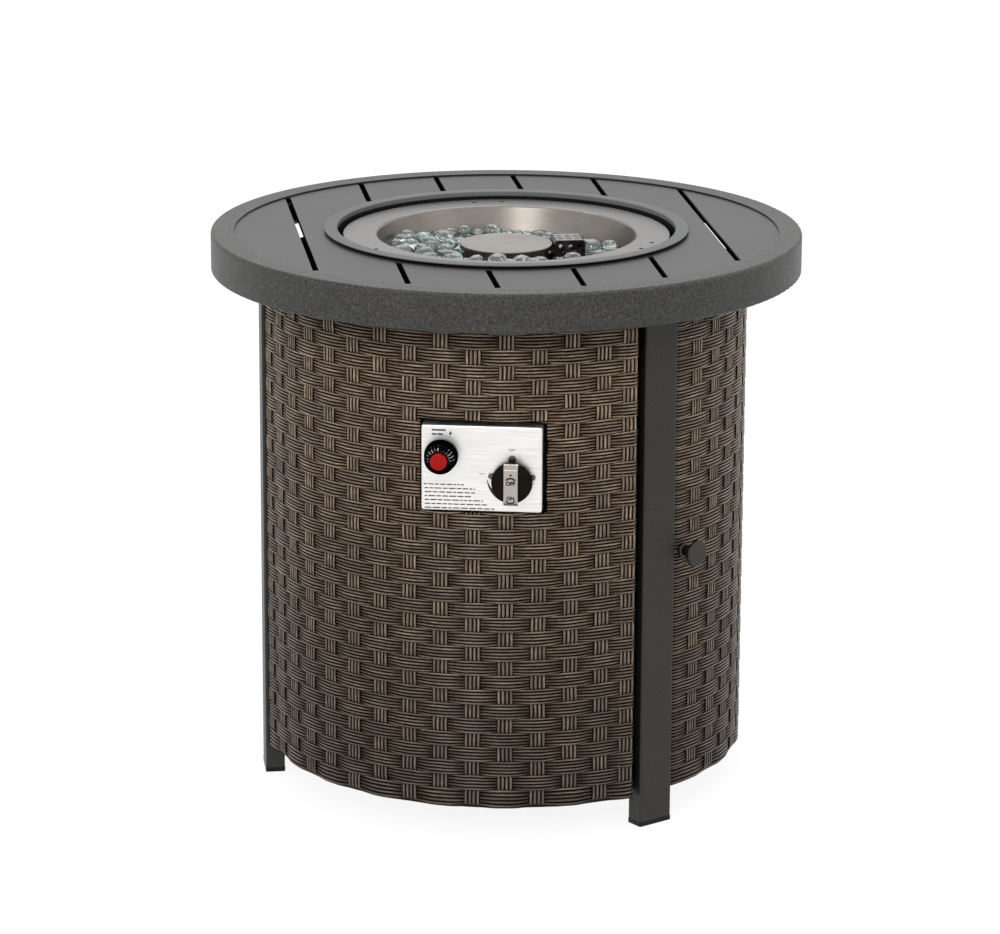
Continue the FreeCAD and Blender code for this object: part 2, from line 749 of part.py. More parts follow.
def make_valve_body():
    block = box(200, 240, valve_y - 15, valve_y + 15, valve_z - 15, valve_z + 15)
    block = block.makeFillet(4.0, [e for e in block.Edges if e.BoundBox.XLength > 20])
    boss = rod_x(12.0, 239, valve_front - 3, valve_y, valve_z)
    flange = rod_x(26.0, valve_front - 4, valve_front, valve_y, valve_z)
    outlet = rod(7.0, valve_z + 14, valve_z + 26, valve_line_x, valve_y)
    inlet = box(inlet_x - 8, valve_line_x + 7, valve_y - 8, valve_y + 8, inlet_top, valve_z - 14)
    body = fused([block, boss, flange, outlet, inlet])
    cuts = [rod_x(9.0, 199, 212.5, valve_y, valve_z),
            rod_x(9.0 + running_gap, 212.5, 235.2, valve_y, valve_z),
            rod_x(4.4, 235, valve_front + 1, valve_y, valve_z),
            rod(3.0, valve_z + 8, valve_z + 30, valve_line_x, valve_y),
            rod(3.0, inlet_top + 6, valve_z - 8, valve_line_x, valve_y),
            rod_x(3.0, inlet_x, valve_line_x, valve_y, inlet_top + 6),
            rod(3.0, inlet_top - 1, inlet_top + 6, inlet_x, valve_y)]
    for reach, direction, head in valve_screw_spots():
        y, z = screw_place(reach, direction)
        cuts.append(rod_x(1.8, valve_front - 6, valve_front + 1, y, z))
    return turned(body.cut(cuts), control_angle)


def make_valve_cap():
    cap = fused([rod_x(9.0, 200, 212.4, valve_y, valve_z), rod_x(11.5, 196, 200, valve_y, valve_z)])
    return turned(cap, control_angle)


def make_gas_inlet():
    """Flared male fitting, pointing down, where the regulator hose screws on."""
    nut = hexagon(19, 0, 7, 0, 0)
    nut.rotate(centre, Vector(0, 1, 0), -90)
    nut.translate(Vector(inlet_x, valve_y, inlet_top - 7))
    thread = rod(7.94, inlet_top - 25, inlet_top - 7, inlet_x, valve_y)
    seat = Part.makeCone(5.0, 7.94, 5.0, Vector(inlet_x, valve_y, inlet_top - 30), up)
    fitting = fused([nut, thread, seat]).cut(rod(3.0, inlet_top - 31, inlet_top + 1, inlet_x, valve_y))
    return turned(fitting, control_angle)


def make_valve_rotor():
    rotor = rod_x(9.0, 213, 235, valve_y, valve_z)
    return turned(rotor.cut(rod_x(4.0 + running_gap, 216, 236, valve_y, valve_z)), control_angle)


def make_valve_stem():
    return turned(rod_x(4.0, 222, 266, valve_y, valve_z), control_angle)


def make_control_knob():
    base = plate_face + knob_travel + 2
    disc = Part.Face(rounded_outline([
        (0, 0, 0), (knob_r, 0, 0.6), (knob_r - 1.0, 7.0, 1.2), (0, 7.5, 0)])).revolve(centre, up, 360)
    grip = box(-19, 19, -5.5, 5.5, 6, 11)
    knob = fused([disc, grip])
    knob.rotate(centre, Vector(0, 1, 0), 90)
    knob.translate(Vector(base, valve_y, valve_z))
    return turned(knob.cut(rod_x(4.0, base - 1, 266, valve_y, valve_z)), control_angle)


def make_knob_handle():
    """Plated bar over the grip: flat face, sloped ends."""
    base = plate_face + knob_travel + 2
    outline = Part.Wire(Part.makePolygon([
        Vector(base + 7.5, 0, -21), Vector(base + 10.5, 0, -20.5), Vector(base + 13.5, 0, -17.2),
        Vector(base + 13.5, 0, 16.2), Vector(base + 10.0, 0, 20.5), Vector(base + 7.5, 0, 21),
        Vector(base + 7.5, 0, -21)]))
    bar = Part.Face(outline).extrude(Vector(0, 14.2, 0))
    bar.translate(Vector(0, valve_y - 7.1, valve_z))
    bar = bar.makeFillet(1.0, [e for e in bar.Edges if e.BoundBox.XMin > base + 13.4])
    core = box(base - 1, base + 11, valve_y - 5.5, valve_y + 5.5, valve_z - 19, valve_z + 19)
    return turned(bar.cut(core), control_angle)


def make_valve_screws():
    screws = []
    for reach, direction, head in valve_screw_spots():
        y, z = screw_place(reach, direction)
        shank = rod_x(1.8, valve_front - 4, plate_face, y, z)
        cap = rod_x(head, plate_face, plate_face + 1.6, y, z)
        screws.append(turned(fused([shank, cap]), control_angle))
    return Part.makeCompound(screws)


def make_igniter():
    """Battery tube with its bezel, clamp nut, battery, cap and push button."""
    bezel_front = plate_face + 5
    cap_front = plate_face + 25
    tube = fused([rod_x(11.0, 200, bezel_front, igniter_y, igniter_z),
                  rod_x(17.0, plate_face, bezel_front, igniter_y, igniter_z)])
    tube = tube.cut(rod_x(7.3, 204, bezel_front + 1, igniter_y, igniter_z))
    nut = hexagon(28, valve_front - 5, valve_front, igniter_y, igniter_z)
    nut = nut.cut(rod_x(11.0, valve_front - 6, valve_front + 1, igniter_y, igniter_z))
    battery = rod_x(7.2, 205, bezel_front - 1.5, igniter_y, igniter_z)
    cap = Part.Face(rounded_outline([
        (8.58, 0, 0), (16.4, 0, 0.6), (15.6, 12.0, 0), (13.2, 20.0, 1.5), (8.58, 20.0, 0.4)]))
    cap = cap.revolve(centre, up, 360)
    cap.rotate(centre, Vector(0, 1, 0), 90)
    cap.translate(Vector(bezel_front, igniter_y, igniter_z))
    button_base = bezel_front + button_travel + 2
    button_length = cap_front + button_travel - button_base
    button = Part.Face(rounded_outline([
        (0, 0, 0), (8.5, 0, 0), (8.5, button_length, 1.2), (0, button_length + 0.4, 0)]))
    button = button.revolve(centre, up, 360)
    button.rotate(centre, Vector(0, 1, 0), 90)
    button.translate(Vector(button_base, igniter_y, igniter_z))
    return [turned(piece, control_angle) for piece in (tube, nut, battery, cap, button)]


def control_point(x, y, z):
    spot = Vector(x, y, z)
    return FreeCAD.Rotation(up, control_angle).multVec(spot)


def make_gas_pipe():
    """Pipe from the top of the valve to the fitting under the bowl, and that fitting's direction."""
    outlet = control_point(valve_line_x, valve_y, valve_z + 26)
    angle = math.degrees(math.atan2(outlet.y, outlet.x))
    reach = math.hypot(outlet.x, outlet.y)
    path = [outlet, polar(reach, angle, pipe_z), polar(pipe_start, angle, pipe_z)]
    return bent_tube(path, 40.0, 4.0), angle


def save_table_top():
    save("rim_band", make_rim())
    save("deck_panel", make_deck())
    save("centre_ring", make_centre_ring())
    save("top_frame", make_top_frame())


def save_bowl():
    save("burner_bowl", make_bowl())
    save("burner_base", make_burner_base())
    save("burner_cap", make_burner_cap())
    save("burner_nut", make_burner_nut())
    pipe, angle = make_gas_pipe()
    save("gas_pipe", pipe)
    save("air_mixer", make_air_mixer(angle))
    save("gas_orifice", make_orifice(angle))
    save("pilot_shield", make_pilot_shield())
    save("pilot_bracket", make_pilot_bracket())
    probe, electrode, lead = make_leads(control_point(196, valve_y - 6, valve_z - 4),
                                        control_point(200, igniter_y, igniter_z))
    save("thermocouple", probe)
    save("spark_electrode", electrode)
    save("igniter_lead", lead)
    save("heat_shield", make_heat_shield())
    save("heat_shield_hangers", make_shield_hangers())
    save("glass_bed", make_glass_bed())
    save("fire_glass", make_fire_glass())


def save_body():
    for name, angle in leg_angles.items():
        save("leg_" + name, make_leg(angle))
        save("foot_" + name, make_foot(angle))
    save("leg_bolts", make_leg_bolts())
    save("base_frame", make_base_frame())
    save("tank_tray", make_tray())
    save("tank_ring", make_tank_ring())
    skin, frame = make_front_panel()
    save("front_panel_weave", skin)
    save("front_panel_frame", frame)
    skin, frame = make_back_panel()
    save("back_panel_weave", skin)
    save("back_panel_frame", frame)


def save_door():
    skin, frame = make_door()
    save("door_weave", skin)
    save("door_frame", frame)
    low_z = panel_bottom - 5
    high_z = door_top + 2
    save("pivot_bracket_lower", make_pivot_bracket(low_z))
    save("pivot_bracket_upper", make_pivot_bracket(high_z))
    save("pivot_pins", make_pivot_pins(low_z, high_z))
    save("thrust_washer", make_thrust_washer(low_z + 3))
    housing, strike = make_catch()
    save("magnet_catch", housing)
    save("strike_plate", strike)
    knob, screw = make_door_knob()
    save("door_knob", knob)
    save("door_knob_screw", screw)


def save_controls():
    save("control_plate", make_control_plate())
    save("control_plate_screws", make_plate_screws())
    save("gas_valve", make_valve_body())
    save("valve_rear_cap", make_valve_cap())
    save("gas_inlet", make_gas_inlet())
    save("valve_rotor", make_valve_rotor())
    save("valve_stem", make_valve_stem())
    save("control_knob", make_control_knob())
    save("knob_handle", make_knob_handle())
    save("valve_screws", make_valve_screws())
    tube, nut, battery, cap, button = make_igniter()
    save("igniter_body", tube)
    save("igniter_nut", nut)
    save("igniter_battery", battery)
    save("igniter_cap", cap)
    save("igniter_button", button)


os.makedirs("parts", exist_ok=True)
save_table_top()
save_bowl()
save_body()
save_door()
save_controls()
print("saved", len(os.listdir("parts")), "sub-parts")
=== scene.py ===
import bpy
import bmesh
import math
import random
from mathutils import Matrix, Vector


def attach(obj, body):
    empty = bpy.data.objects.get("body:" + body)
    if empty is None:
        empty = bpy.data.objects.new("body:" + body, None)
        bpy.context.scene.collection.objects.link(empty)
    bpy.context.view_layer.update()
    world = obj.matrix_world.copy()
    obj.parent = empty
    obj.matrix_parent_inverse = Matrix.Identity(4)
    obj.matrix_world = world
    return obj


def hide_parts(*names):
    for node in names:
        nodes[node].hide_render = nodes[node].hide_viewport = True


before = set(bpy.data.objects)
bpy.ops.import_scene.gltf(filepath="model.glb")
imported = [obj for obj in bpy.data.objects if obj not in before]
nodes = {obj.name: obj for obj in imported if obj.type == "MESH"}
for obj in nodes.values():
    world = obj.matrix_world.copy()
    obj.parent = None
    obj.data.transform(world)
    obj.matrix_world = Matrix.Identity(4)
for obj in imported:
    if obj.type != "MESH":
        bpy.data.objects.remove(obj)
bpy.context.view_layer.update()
scene = bpy.context.scene
plateAngle = math.radians(-102.7)  # heading of the control plate, its window and its knobs
print("frame loaded:", len(nodes), "nodes")


# a value in a node tree; a sum or a comparison with it adds a math node to that tree
class Wire:
    def __init__(self, tree, socket):
        self.tree, self.socket = tree, socket

    def __add__(self, other): return calc("ADD", self, other)
    def __sub__(self, other): return calc("SUBTRACT", self, other)
    def __rsub__(self, other): return calc("SUBTRACT", other, self)
    def __mul__(self, other): return calc("MULTIPLY", self, other)
    def __truediv__(self, other): return calc("DIVIDE", self, other)
    def __pow__(self, other): return calc("POWER", self, other)
    def __gt__(self, other): return calc("GREATER_THAN", self, other)
    def __lt__(self, other): return calc("LESS_THAN", self, other)


def addNode(tree, kind, **settings):
    node = tree.nodes.new(kind)
    for name, value in settings.items():
        setattr(node, name, value)
    return node


# links or sets inputs of a node, by name or number
def fill(node, inputs):
    for key, value in inputs.items():
        if isinstance(value, Wire):
            value.tree.links.new(value.socket, node.inputs[key])
        else:
            node.inputs[key].default_value = value


# adds a node, fills its inputs and gives one of its outputs
def wired(tree, kind, inputs, output=0, **settings):
    node = addNode(tree, kind, **settings)
    fill(node, inputs)
    return Wire(tree, node.outputs[output])


def treeOf(values):
    return next(value.tree for value in values if isinstance(value, Wire))


def calc(operation, *values, clamp=False):
    return wired(treeOf(values), "ShaderNodeMath", dict(enumerate(values)),
                 operation=operation, use_clamp=clamp)


def scaled(value, pair):
    return calc("MULTIPLY_ADD", value, *pair)


def clamped(value):
    return calc("MAXIMUM", value, 0.0, clamp=True)


def joined(*values):
    return wired(treeOf(values), "ShaderNodeCombineXYZ", dict(enumerate(values)))


def parted(vector):
    node = addNode(vector.tree, "ShaderNodeSeparateXYZ")
    fill(node, {0: vector})
    return [Wire(vector.tree, socket) for socket in node.outputs]


def reachOf(x, y):
    return calc("SQRT", x * x + y * y)


def noise(vector, scale=1.0, detail=2.0, roughness=0.5):
    inputs = {"Vector": vector, "Scale": scale, "Detail": detail, "Roughness": roughness}
    return wired(vector.tree, "ShaderNodeTexNoise", inputs, "Fac")


# a colour of three numbers is written as on a screen, 0 to 255
def ramp(value, *stops):
    node = addNode(value.tree, "ShaderNodeValToRGB")
    while len(node.color_ramp.elements) < len(stops):
        node.color_ramp.elements.new(0.5)
    for element, (place, colour) in zip(node.color_ramp.elements, stops):
        element.position = place
        element.color = linear(*colour) if len(colour) == 3 else colour
    fill(node, {0: value})
    return Wire(value.tree, node.outputs[0])


def grey(level):
    return (level, level, level, 1.0)


# none below the low value, all above the high one
def mask(value, low, high):
    return ramp(value, (low, grey(0)), (high, grey(1)))


def blendColour(kind, factor, first, second):
    return wired(treeOf((factor, first, second)), "ShaderNodeMix", {0: factor, 6: first, 7: second}, 2,
                 data_type="RGBA", blend_type=kind)


def linear(red, green, blue):
    values = []
    for part in (red, green, blue):
        part = part / 255
        values.append(part / 12.92 if part < 0.04045 else ((part + 0.055) / 1.055) ** 2.4)
    return (*values, 1.0)


def objectPlace(tree):
    return wired(tree, "ShaderNodeTexCoord", {}, "Object")


def linked(name, data):
    piece = bpy.data.objects.new(name, data)
    scene.collection.objects.link(piece)
    return piece


def meshOf(name, shape, material):
    data = bpy.data.meshes.new(name)
    shape.to_mesh(data)
    shape.free()
    data.materials.append(material)
    return data


cameraValues = {
    "lens": 151.65,
    "sensor": 36.0,
    "farthest": 50.0,
    "place": (-0.5484, -4.2226, 1.4937),
    "heading": -7.326,
    "down": 15.401,
    "roll": 0.266,
}
camera = linked("camera", bpy.data.cameras.new("camera"))
camera.data.lens = cameraValues["lens"]
camera.data.sensor_width = cameraValues["sensor"]
camera.data.clip_end = cameraValues["farthest"]
camera.matrix_world = (
    Matrix.Translation(cameraValues["place"])
    @ Matrix.Rotation(math.radians(cameraValues["heading"]), 4, "Z")
    @ Matrix.Rotation(math.radians(90 - cameraValues["down"]), 4, "X")
    @ Matrix.Rotation(math.radians(cameraValues["roll"]), 4, "Z"))
scene.camera = camera


# Shared effects: each group gives a colour, a roughness and a height

def startGroup(name, inputs):
    group = bpy.data.node_groups.new(name, "ShaderNodeTree")
    for label, value in inputs.items():
        kind = "NodeSocketColor" if label == "Colour" else "NodeSocketFloat"
        group.interface.new_socket(label, in_out="INPUT", socket_type=kind).default_value = value
    start = addNode(group, "NodeGroupInput")
    return group, {label: Wire(group, start.outputs[label]) for label in inputs}, objectPlace(group)


def endGroup(group, colour, roughness, height):
    outputs = {"Colour": colour, "Roughness": roughness, "Height": height}
    for label in outputs:
        kind = "NodeSocketColor" if label == "Colour" else "NodeSocketFloat"
        group.interface.new_socket(label, in_out="OUTPUT", socket_type=kind)
    fill(addNode(group, "NodeGroupOutput"), outputs)
    return group


coatValues = {"flecks": (0.53, 0.72), "fleckColour": (0.22, 0.22, 0.21, 1), "slow": 9.0,
              "slowTone": (0.3, 0.85), "grain": 0.45, "roughness": (-0.12, 0.5)}
brushValues = {"round": (900.0, 900.0, 5.0), "straight": (25.0, 25.0, 1400.0), "cloud": 14.0,
               "cloudTone": 0.18, "cloudRough": 0.06, "streakRough": 0.25}
mouldValues = {"grain": 2200.0, "dust": (160.0, 5.0, 0.65), "dustRange": (0.5, 0.8), "dustRough": 0.6,
               "dustColour": (0.35, 0.33, 0.3, 1)}


# powder coat: fine peel, pale flecks, slow change of tone
def makeCoatGroup():
    inputs = {"Colour": grey(0.1), "Fleck": 0.3, "Mottle": 0.3, "Scale": 700.0}
    group, given, place = startGroup("coatGrain", inputs)
    fine = noise(place, given["Scale"], detail=3.0, roughness=0.6)
    slow = noise(place, coatValues["slow"])
    fleck = mask(fine, *coatValues["flecks"]) * given["Fleck"]
    pale = blendColour("ADD", fleck, given["Colour"], coatValues["fleckColour"])
    grain = (noise(place, given["Scale"] * coatValues["grain"], roughness=0.7) - 0.5) * given["Mottle"]
    tone = scaled(slow, coatValues["slowTone"]) * (grain + 1.0)
    colour = blendColour("MULTIPLY", 1.0, pale, joined(tone, tone, tone))
    return endGroup(group, colour, scaled(fine, coatValues["roughness"]), fine)


# brushed metal: streaks along a straight line or round the upright axis
def makeBrushGroup():
    inputs = {"Colour": grey(0.6), "Round": 1.0, "Contrast": 0.15, "Roughness": 0.3}
    group, given, place = startGroup("brushGrain", inputs)
    x, y, z = parted(place)
    turned = (reachOf(x, y), z, calc("ARCTAN2", y, x))
    ways = [joined(*(value * scale for value, scale in zip(values, brushValues[way])))
            for way, values in (("straight", (x, y, z)), ("round", turned))]
    picked = wired(group, "ShaderNodeMix", {0: given["Round"], 4: ways[0], 5: ways[1]}, 1, data_type="VECTOR")
    streak = noise(picked, detail=3.0, roughness=0.6)
    cloud = noise(place, brushValues["cloud"], detail=3.0)
    centred = streak - 0.5
    shade = centred * given["Contrast"] + 1.0 + (cloud - 0.5) * brushValues["cloudTone"]
    colour = blendColour("MULTIPLY", 1.0, given["Colour"], joined(shade, shade, shade))
    rough = given["Roughness"] + centred * brushValues["streakRough"] + cloud * brushValues["cloudRough"]
    return endGroup(group, colour, rough, streak)


# moulded plastic or rubber: fine grain and a little dust
def makeMouldGroup():
    group, given, place = startGroup("mouldGrain", {"Colour": grey(0.03), "Roughness": 0.4, "Dust": 0.1})
    amount = mask(noise(place, *mouldValues["dust"]), *mouldValues["dustRange"]) * given["Dust"]
    colour = blendColour("MIX", amount, given["Colour"], mouldValues["dustColour"])
    rough = given["Roughness"] + amount * mouldValues["dustRough"]
    return endGroup(group, colour, rough, noise(place, mouldValues["grain"]))


# Finishes: colour 0 to 255, the group's own values, metallic, depth and strength of the bump, specular level

coatRows = {
    "rimPaint": ((56, 55, 53), (0.45, 3.6, 760.0), 0.0, 0.0006, 0.8, 0.4),
    "deckPaint": ((56, 56, 57), (0.1, 0.4, 800.0), 0.0, 0.0003, 0.2, 0.5),
    "ringPaint": ((116, 117, 118), (0.1, 0.4, 800.0), 0.0, 0.0003, 0.2, 0.1),
    "legPaint": ((46, 44, 41), (0.14, 1.0, 900.0), 0.0, 0.0003, 0.3, 0.35),
    "framePaint": ((17, 17, 17), (0.02, 0.3, 900.0), 0.0, 0.0003, 0.3, 0.06),
    # near-black: painted shade for the frame and the slot edges seen through the deck's slots
    "underShadePaint": ((3, 3, 3), (0.005, 0.3, 900.0), 0.0, 0.0003, 0.3, 0.0),
}
brushRows = {
    "bowlSteel": ((140, 136, 131), (1.0, 0.6, 0.31), 1.0, 0.0001, 0.15, 0.5),
    "capSteel": ((148, 144, 139), (0.0, 0.25, 0.36), 1.0, 0.0001, 0.1, 0.5),
    "burnerSteel": ((132, 128, 122), (1.0, 0.4, 0.4), 1.0, 0.0001, 0.1, 0.5),
    "plateSteel": ((232, 231, 229), (0.0, 0.7, 0.33), 1.0, 0.0001, 0.12, 0.5),
    "screwSteel": ((96, 95, 96), (0.0, 0.3, 0.25), 1.0, 0.0001, 0.15, 0.5),
    "zincSteel": ((190, 192, 196), (1.0, 0.3, 0.35), 1.0, 0.0001, 0.15, 0.5),
    "brassMetal": ((205, 172, 100), (1.0, 0.2, 0.28), 1.0, 0.0001, 0.1, 0.5),
    "copperMetal": ((205, 130, 95), (0.0, 0.2, 0.32), 1.0, 0.0001, 0.1, 0.5),
    "platedMetal": ((176, 170, 164), (0.0, 0.12, 0.24), 0.9, 0.0001, 0.08, 0.5),
    "knobMetal": ((62, 60, 57), (0.0, 0.2, 0.34), 0.9, 0.0001, 0.08, 0.5),
}
mouldRows = {
    "castMetal": ((178, 178, 176), (0.5, 0.1), 0.9, 0.0003, 0.5, 0.5),
    "blackPlastic": ((8, 7, 6), (0.22, 0.03), 0.0, 0.0002, 0.12, 0.2),
    "knobPlastic": ((36, 33, 30), (0.3, 0.02), 0.0, 0.0002, 0.1, 0.0),
    "dullPlastic": ((8, 7, 7), (0.45, 0.04), 0.0, 0.0003, 0.5, 0.0),
    "redPlastic": ((190, 8, 6), (0.3, 0.02), 0.0, 0.0001, 0.1, 0.25),
    "whiteCeramic": ((232, 228, 218), (0.2, 0.15), 0.0, 0.0001, 0.1, 0.5),
    "blackRubber": ((30, 29, 29), (0.6, 0.12), 0.0, 0.0003, 0.4, 0.5),
    "cellSleeve": ((168, 142, 84), (0.35, 0.05), 0.0, 0.0001, 0.1, 0.5),
    "darkInk": ((16, 15, 15), (0.5, 0.05), 0.0, 0.0001, 0.1, 0.5),
}


def shaderOf(material):
    return next(node for node in material.node_tree.nodes if node.type == "BSDF_PRINCIPLED")


def newMaterial(name):
    material = bpy.data.materials.new(name)
    material.use_nodes = True
    return material, material.node_tree, shaderOf(material)


def addBump(shader, height, depth, strength, invert=False):
    inputs = {"Height": height, "Distance": depth, "Strength": strength}
    fill(shader, {"Normal": wired(height.tree, "ShaderNodeBump", inputs, "Normal", invert=invert)})


def makeFinish(name, group, labels, row):
    colour, values, metallic, depth, strength, specular = row
    material, tree, shader = newMaterial(name)
    node = addNode(tree, "ShaderNodeGroup", node_tree=group)
    fill(node, {"Colour": linear(*colour), **dict(zip(labels, values))})
    fill(shader, {"Base Color": Wire(tree, node.outputs["Colour"]), "Metallic": metallic,
                  "Roughness": Wire(tree, node.outputs["Roughness"]), "Specular IOR Level": specular})
    addBump(shader, Wire(tree, node.outputs["Height"]), depth, strength)
    return material


finishes = {}
for group, labels, rows in ((makeCoatGroup(), ("Fleck", "Mottle", "Scale"), coatRows),
                            (makeBrushGroup(), ("Round", "Contrast", "Roughness"), brushRows),
                            (makeMouldGroup(), ("Roughness", "Dust"), mouldRows)):
    for name, row in rows.items():
        finishes[name] = makeFinish(name, group, labels, row)

# zones about the upright axis: radius, height, tint and size of the patches, none where it is 0; the heat
# marks and the duller flange are the steel's own tone, the dark zones on the rim, ring, cap edge and legs are
# painted shade
everywhere = (-1.0, 9.0)
tintAndShadeValues = {
    # the rim lip's inner side goes near-black: painted shade in the gap over the deck
    "rimPaint": [((0.0, 0.2812), (0.0, 0.5768), (0.05, 0.05, 0.05), 0)],  # the lip's inner side
    # the ring's foot and its inner wall go near-black: painted shadow under its edge and painted shade inside
    # it
    "ringPaint": [((0.18, 1.0), (0.0, 0.5781), (0.01, 0.01, 0.01), 0),  # the ring's foot
                  ((0.0, 0.1752), (0.0, 0.5745), (0.06, 0.06, 0.06), 0)],  # its inner wall
    "bowlSteel": [(everywhere, (0.5714, 1.0), (0.82, 0.83, 0.86), 0),  # the duller flange
                  (everywhere, (0.0, 0.5714), (0.93, 0.87, 0.80), 30.0)],  # heat marks
    "capSteel": [((0.0, 0.0485), everywhere, (0.86, 0.825, 0.77), 34.0),
                 # the cap's edge is darkened: painted shade above the skirt
                 (everywhere, (0.0, 0.5608), (0.42, 0.40, 0.38), 0)],  # the cap's edge
    # the legs' sides by the weave are darkened: painted shade
    "legPaint": [((0.0, 0.2538), (0.034, 0.56), (0.25, 0.25, 0.25), 0)],  # sides of the legs
}
patchRange = (0.4, 0.66)


def tintAndShadeZones(material, zones):
    shader = shaderOf(material)
    place = objectPlace(material.node_tree)
    x, y, z = parted(place)
    reach = reachOf(x, y)
    colour = Wire(material.node_tree, shader.inputs["Base Color"].links[0].from_socket)
    for (inner, outer), (low, high), tint, patch in zones:
        inside = (reach > inner) * (reach < outer) * (z > low) * (z < high)
        if patch:
            inside = inside * mask(noise(place, patch, detail=4.0, roughness=0.6), *patchRange)
        colour = blendColour("MULTIPLY", inside, colour, (*tint, 1.0))
    fill(shader, {"Base Color": colour})


for name, zones in tintAndShadeValues.items():
    tintAndShadeZones(finishes[name], zones)

weaveValues = {
    "stops": ((0.36, (68, 52, 39)), (0.5, (130, 106, 85)), (0.66, (234, 204, 170))),
    "slow": (30.0, 1.7),  # change of tone along and across a strand
    "fibre": (170.0, 9.0),
    # near-black crease colour and its reach along the rib profile: painted shade between the ribs
    "creaseShade": (10, 6, 4),
    "creaseShadeReach": (0.46, 0.94),
    "roughness": (0.2, 0.3),
    "specular": 0.03,
    "sheen": 1.2,
    "sheenRoughness": 0.28,
    "sheenIndex": 1.75,
    "sheenCrest": 5.0,
    # lighter where a strand comes forward and darker where it goes behind: painted light and shade
    "bulgeShade": (0.12, 0.98),
    # darker towards the bottom: painted shade
    "heightShade": (1.55, 0.32),
    "bump": (0.0004, 0.25),
}


def makeWeaveMaterial():
    material, tree, shader = newMaterial("resinWeave")
    strand = wired(tree, "ShaderNodeAttribute", {}, "Vector", attribute_name="strand")
    bulge = wired(tree, "ShaderNodeAttribute", {}, "Fac", attribute_name="bulge")
    along, across, crest = parted(strand)
    height = parted(objectPlace(tree))[2]
    slowAlong, slowAcross = weaveValues["slow"]
    fibreAlong, fibreAcross = weaveValues["fibre"]
    slow = noise(joined(along * slowAlong, across * slowAcross, 0.0))
    fibre = noise(joined(along * fibreAlong, across * fibreAcross, 3.0), detail=3.0, roughness=0.6)
    colour = ramp(slow * 0.5 + fibre * 0.5, *weaveValues["stops"])
    # painted light and shade from the strand's bulge, and painted shade towards the bottom
    tone = scaled(bulge, weaveValues["bulgeShade"]) * scaled(height, weaveValues["heightShade"])
    colour = blendColour("MULTIPLY", 1.0, colour, joined(tone, tone, tone))
    creaseShadeStart, creaseShadeEnd = weaveValues["creaseShadeReach"]
    # the creases between the ribs go near-black: painted shade
    depth = ramp(crest, (creaseShadeStart, grey(1)), (creaseShadeEnd, grey(0)))
    ridge = crest ** weaveValues["sheenCrest"] * clamped(bulge * 0.5 + 0.5) * weaveValues["sheen"]
    fill(shader, {"Base Color": blendColour("MIX", depth, colour, linear(*weaveValues["creaseShade"])),
                  "Roughness": scaled(fibre, weaveValues["roughness"]),
                  "Specular IOR Level": weaveValues["specular"], "Coat Weight": clamped(ridge),
                  "Coat Roughness": weaveValues["sheenRoughness"], "Coat IOR": weaveValues["sheenIndex"]})
    addBump(shader, fibre, *weaveValues["bump"])
    return material


beadLook = {
    # pale face-on and near-black at the rim as seen from the camera: painted highlight and painted shade
    "facingShade": ((0.0, (252, 255, 255)), (0.36, (208, 231, 226)), (0.6, (74, 108, 101)), (0.86, (5, 15, 13))),
    "cloud": 75.0, "cloudStops": ((0.4, (0.5, 0.6, 0.58, 1)), (0.54, grey(1))),
    "clear": 0.97, "index": 1.52, "coat": 0.9, "coatRoughness": 0.03, "specular": 0.25,
    "grain": 260.0, "roughness": 0.02, "ripple": 60.0, "bump": (0.001, 0.03),
}


def makeGlassMaterial():
    material, tree, shader = newMaterial("fireGlass")
    place = objectPlace(tree)
    # the beads' colour follows the view: painted highlight in the middle, painted shade at the rim
    tint = ramp(wired(tree, "ShaderNodeLayerWeight", {"Blend": 0.5}, "Facing"), *beadLook["facingShade"])
    cloud = ramp(noise(place, beadLook["cloud"], detail=1.0), *beadLook["cloudStops"])
    fill(shader, {"Base Color": blendColour("MULTIPLY", 1.0, tint, cloud), "Metallic": 0.0,
                  "Transmission Weight": beadLook["clear"], "IOR": beadLook["index"],
                  "Coat Weight": beadLook["coat"], "Coat Roughness": beadLook["coatRoughness"],
                  "Specular IOR Level": beadLook["specular"],
                  "Roughness": noise(place, beadLook["grain"]) * beadLook["roughness"]})
    addBump(shader, noise(place, beadLook["ripple"], detail=1.0), *beadLook["bump"])
    return material


bedLook = {"cells": 55.0, "stops": ((0.1, (48, 66, 62)), (0.45, (18, 27, 25)), (0.7, (4, 7, 6))),
           "grain": 300.0, "roughness": (0.1, 0.08), "bump": (0.006, 1.0)}


# the imported lower glass: rounded pebbles, near-black and darkest between them as painted shade under the
# loose beads
def makeBedMaterial():
    material, tree, shader = newMaterial("glassBed")
    place = objectPlace(tree)
    inputs = {"Vector": place, "Scale": bedLook["cells"]}
    cells = wired(tree, "ShaderNodeTexVoronoi", inputs, "Distance", feature="F1")
    fill(shader, {"Base Color": ramp(cells, *bedLook["stops"]),
                  "Roughness": scaled(noise(place, bedLook["grain"]), bedLook["roughness"])})
    addBump(shader, cells, *bedLook["bump"], invert=True)
    return material


scorchLook = {"patches": 70.0, "stops": ((0.36, (66, 36, 24)), (0.5, (46, 38, 38)), (0.66, (84, 82, 88))),
              "litTopFrom": 0.5656, "litTopShare": (0.8, 0.4), "litTopColour": (150, 147, 144),
              "roughness": (0.4, 0.16), "metallic": 0.85, "grain": 220.0, "bump": (0.0005, 0.3)}


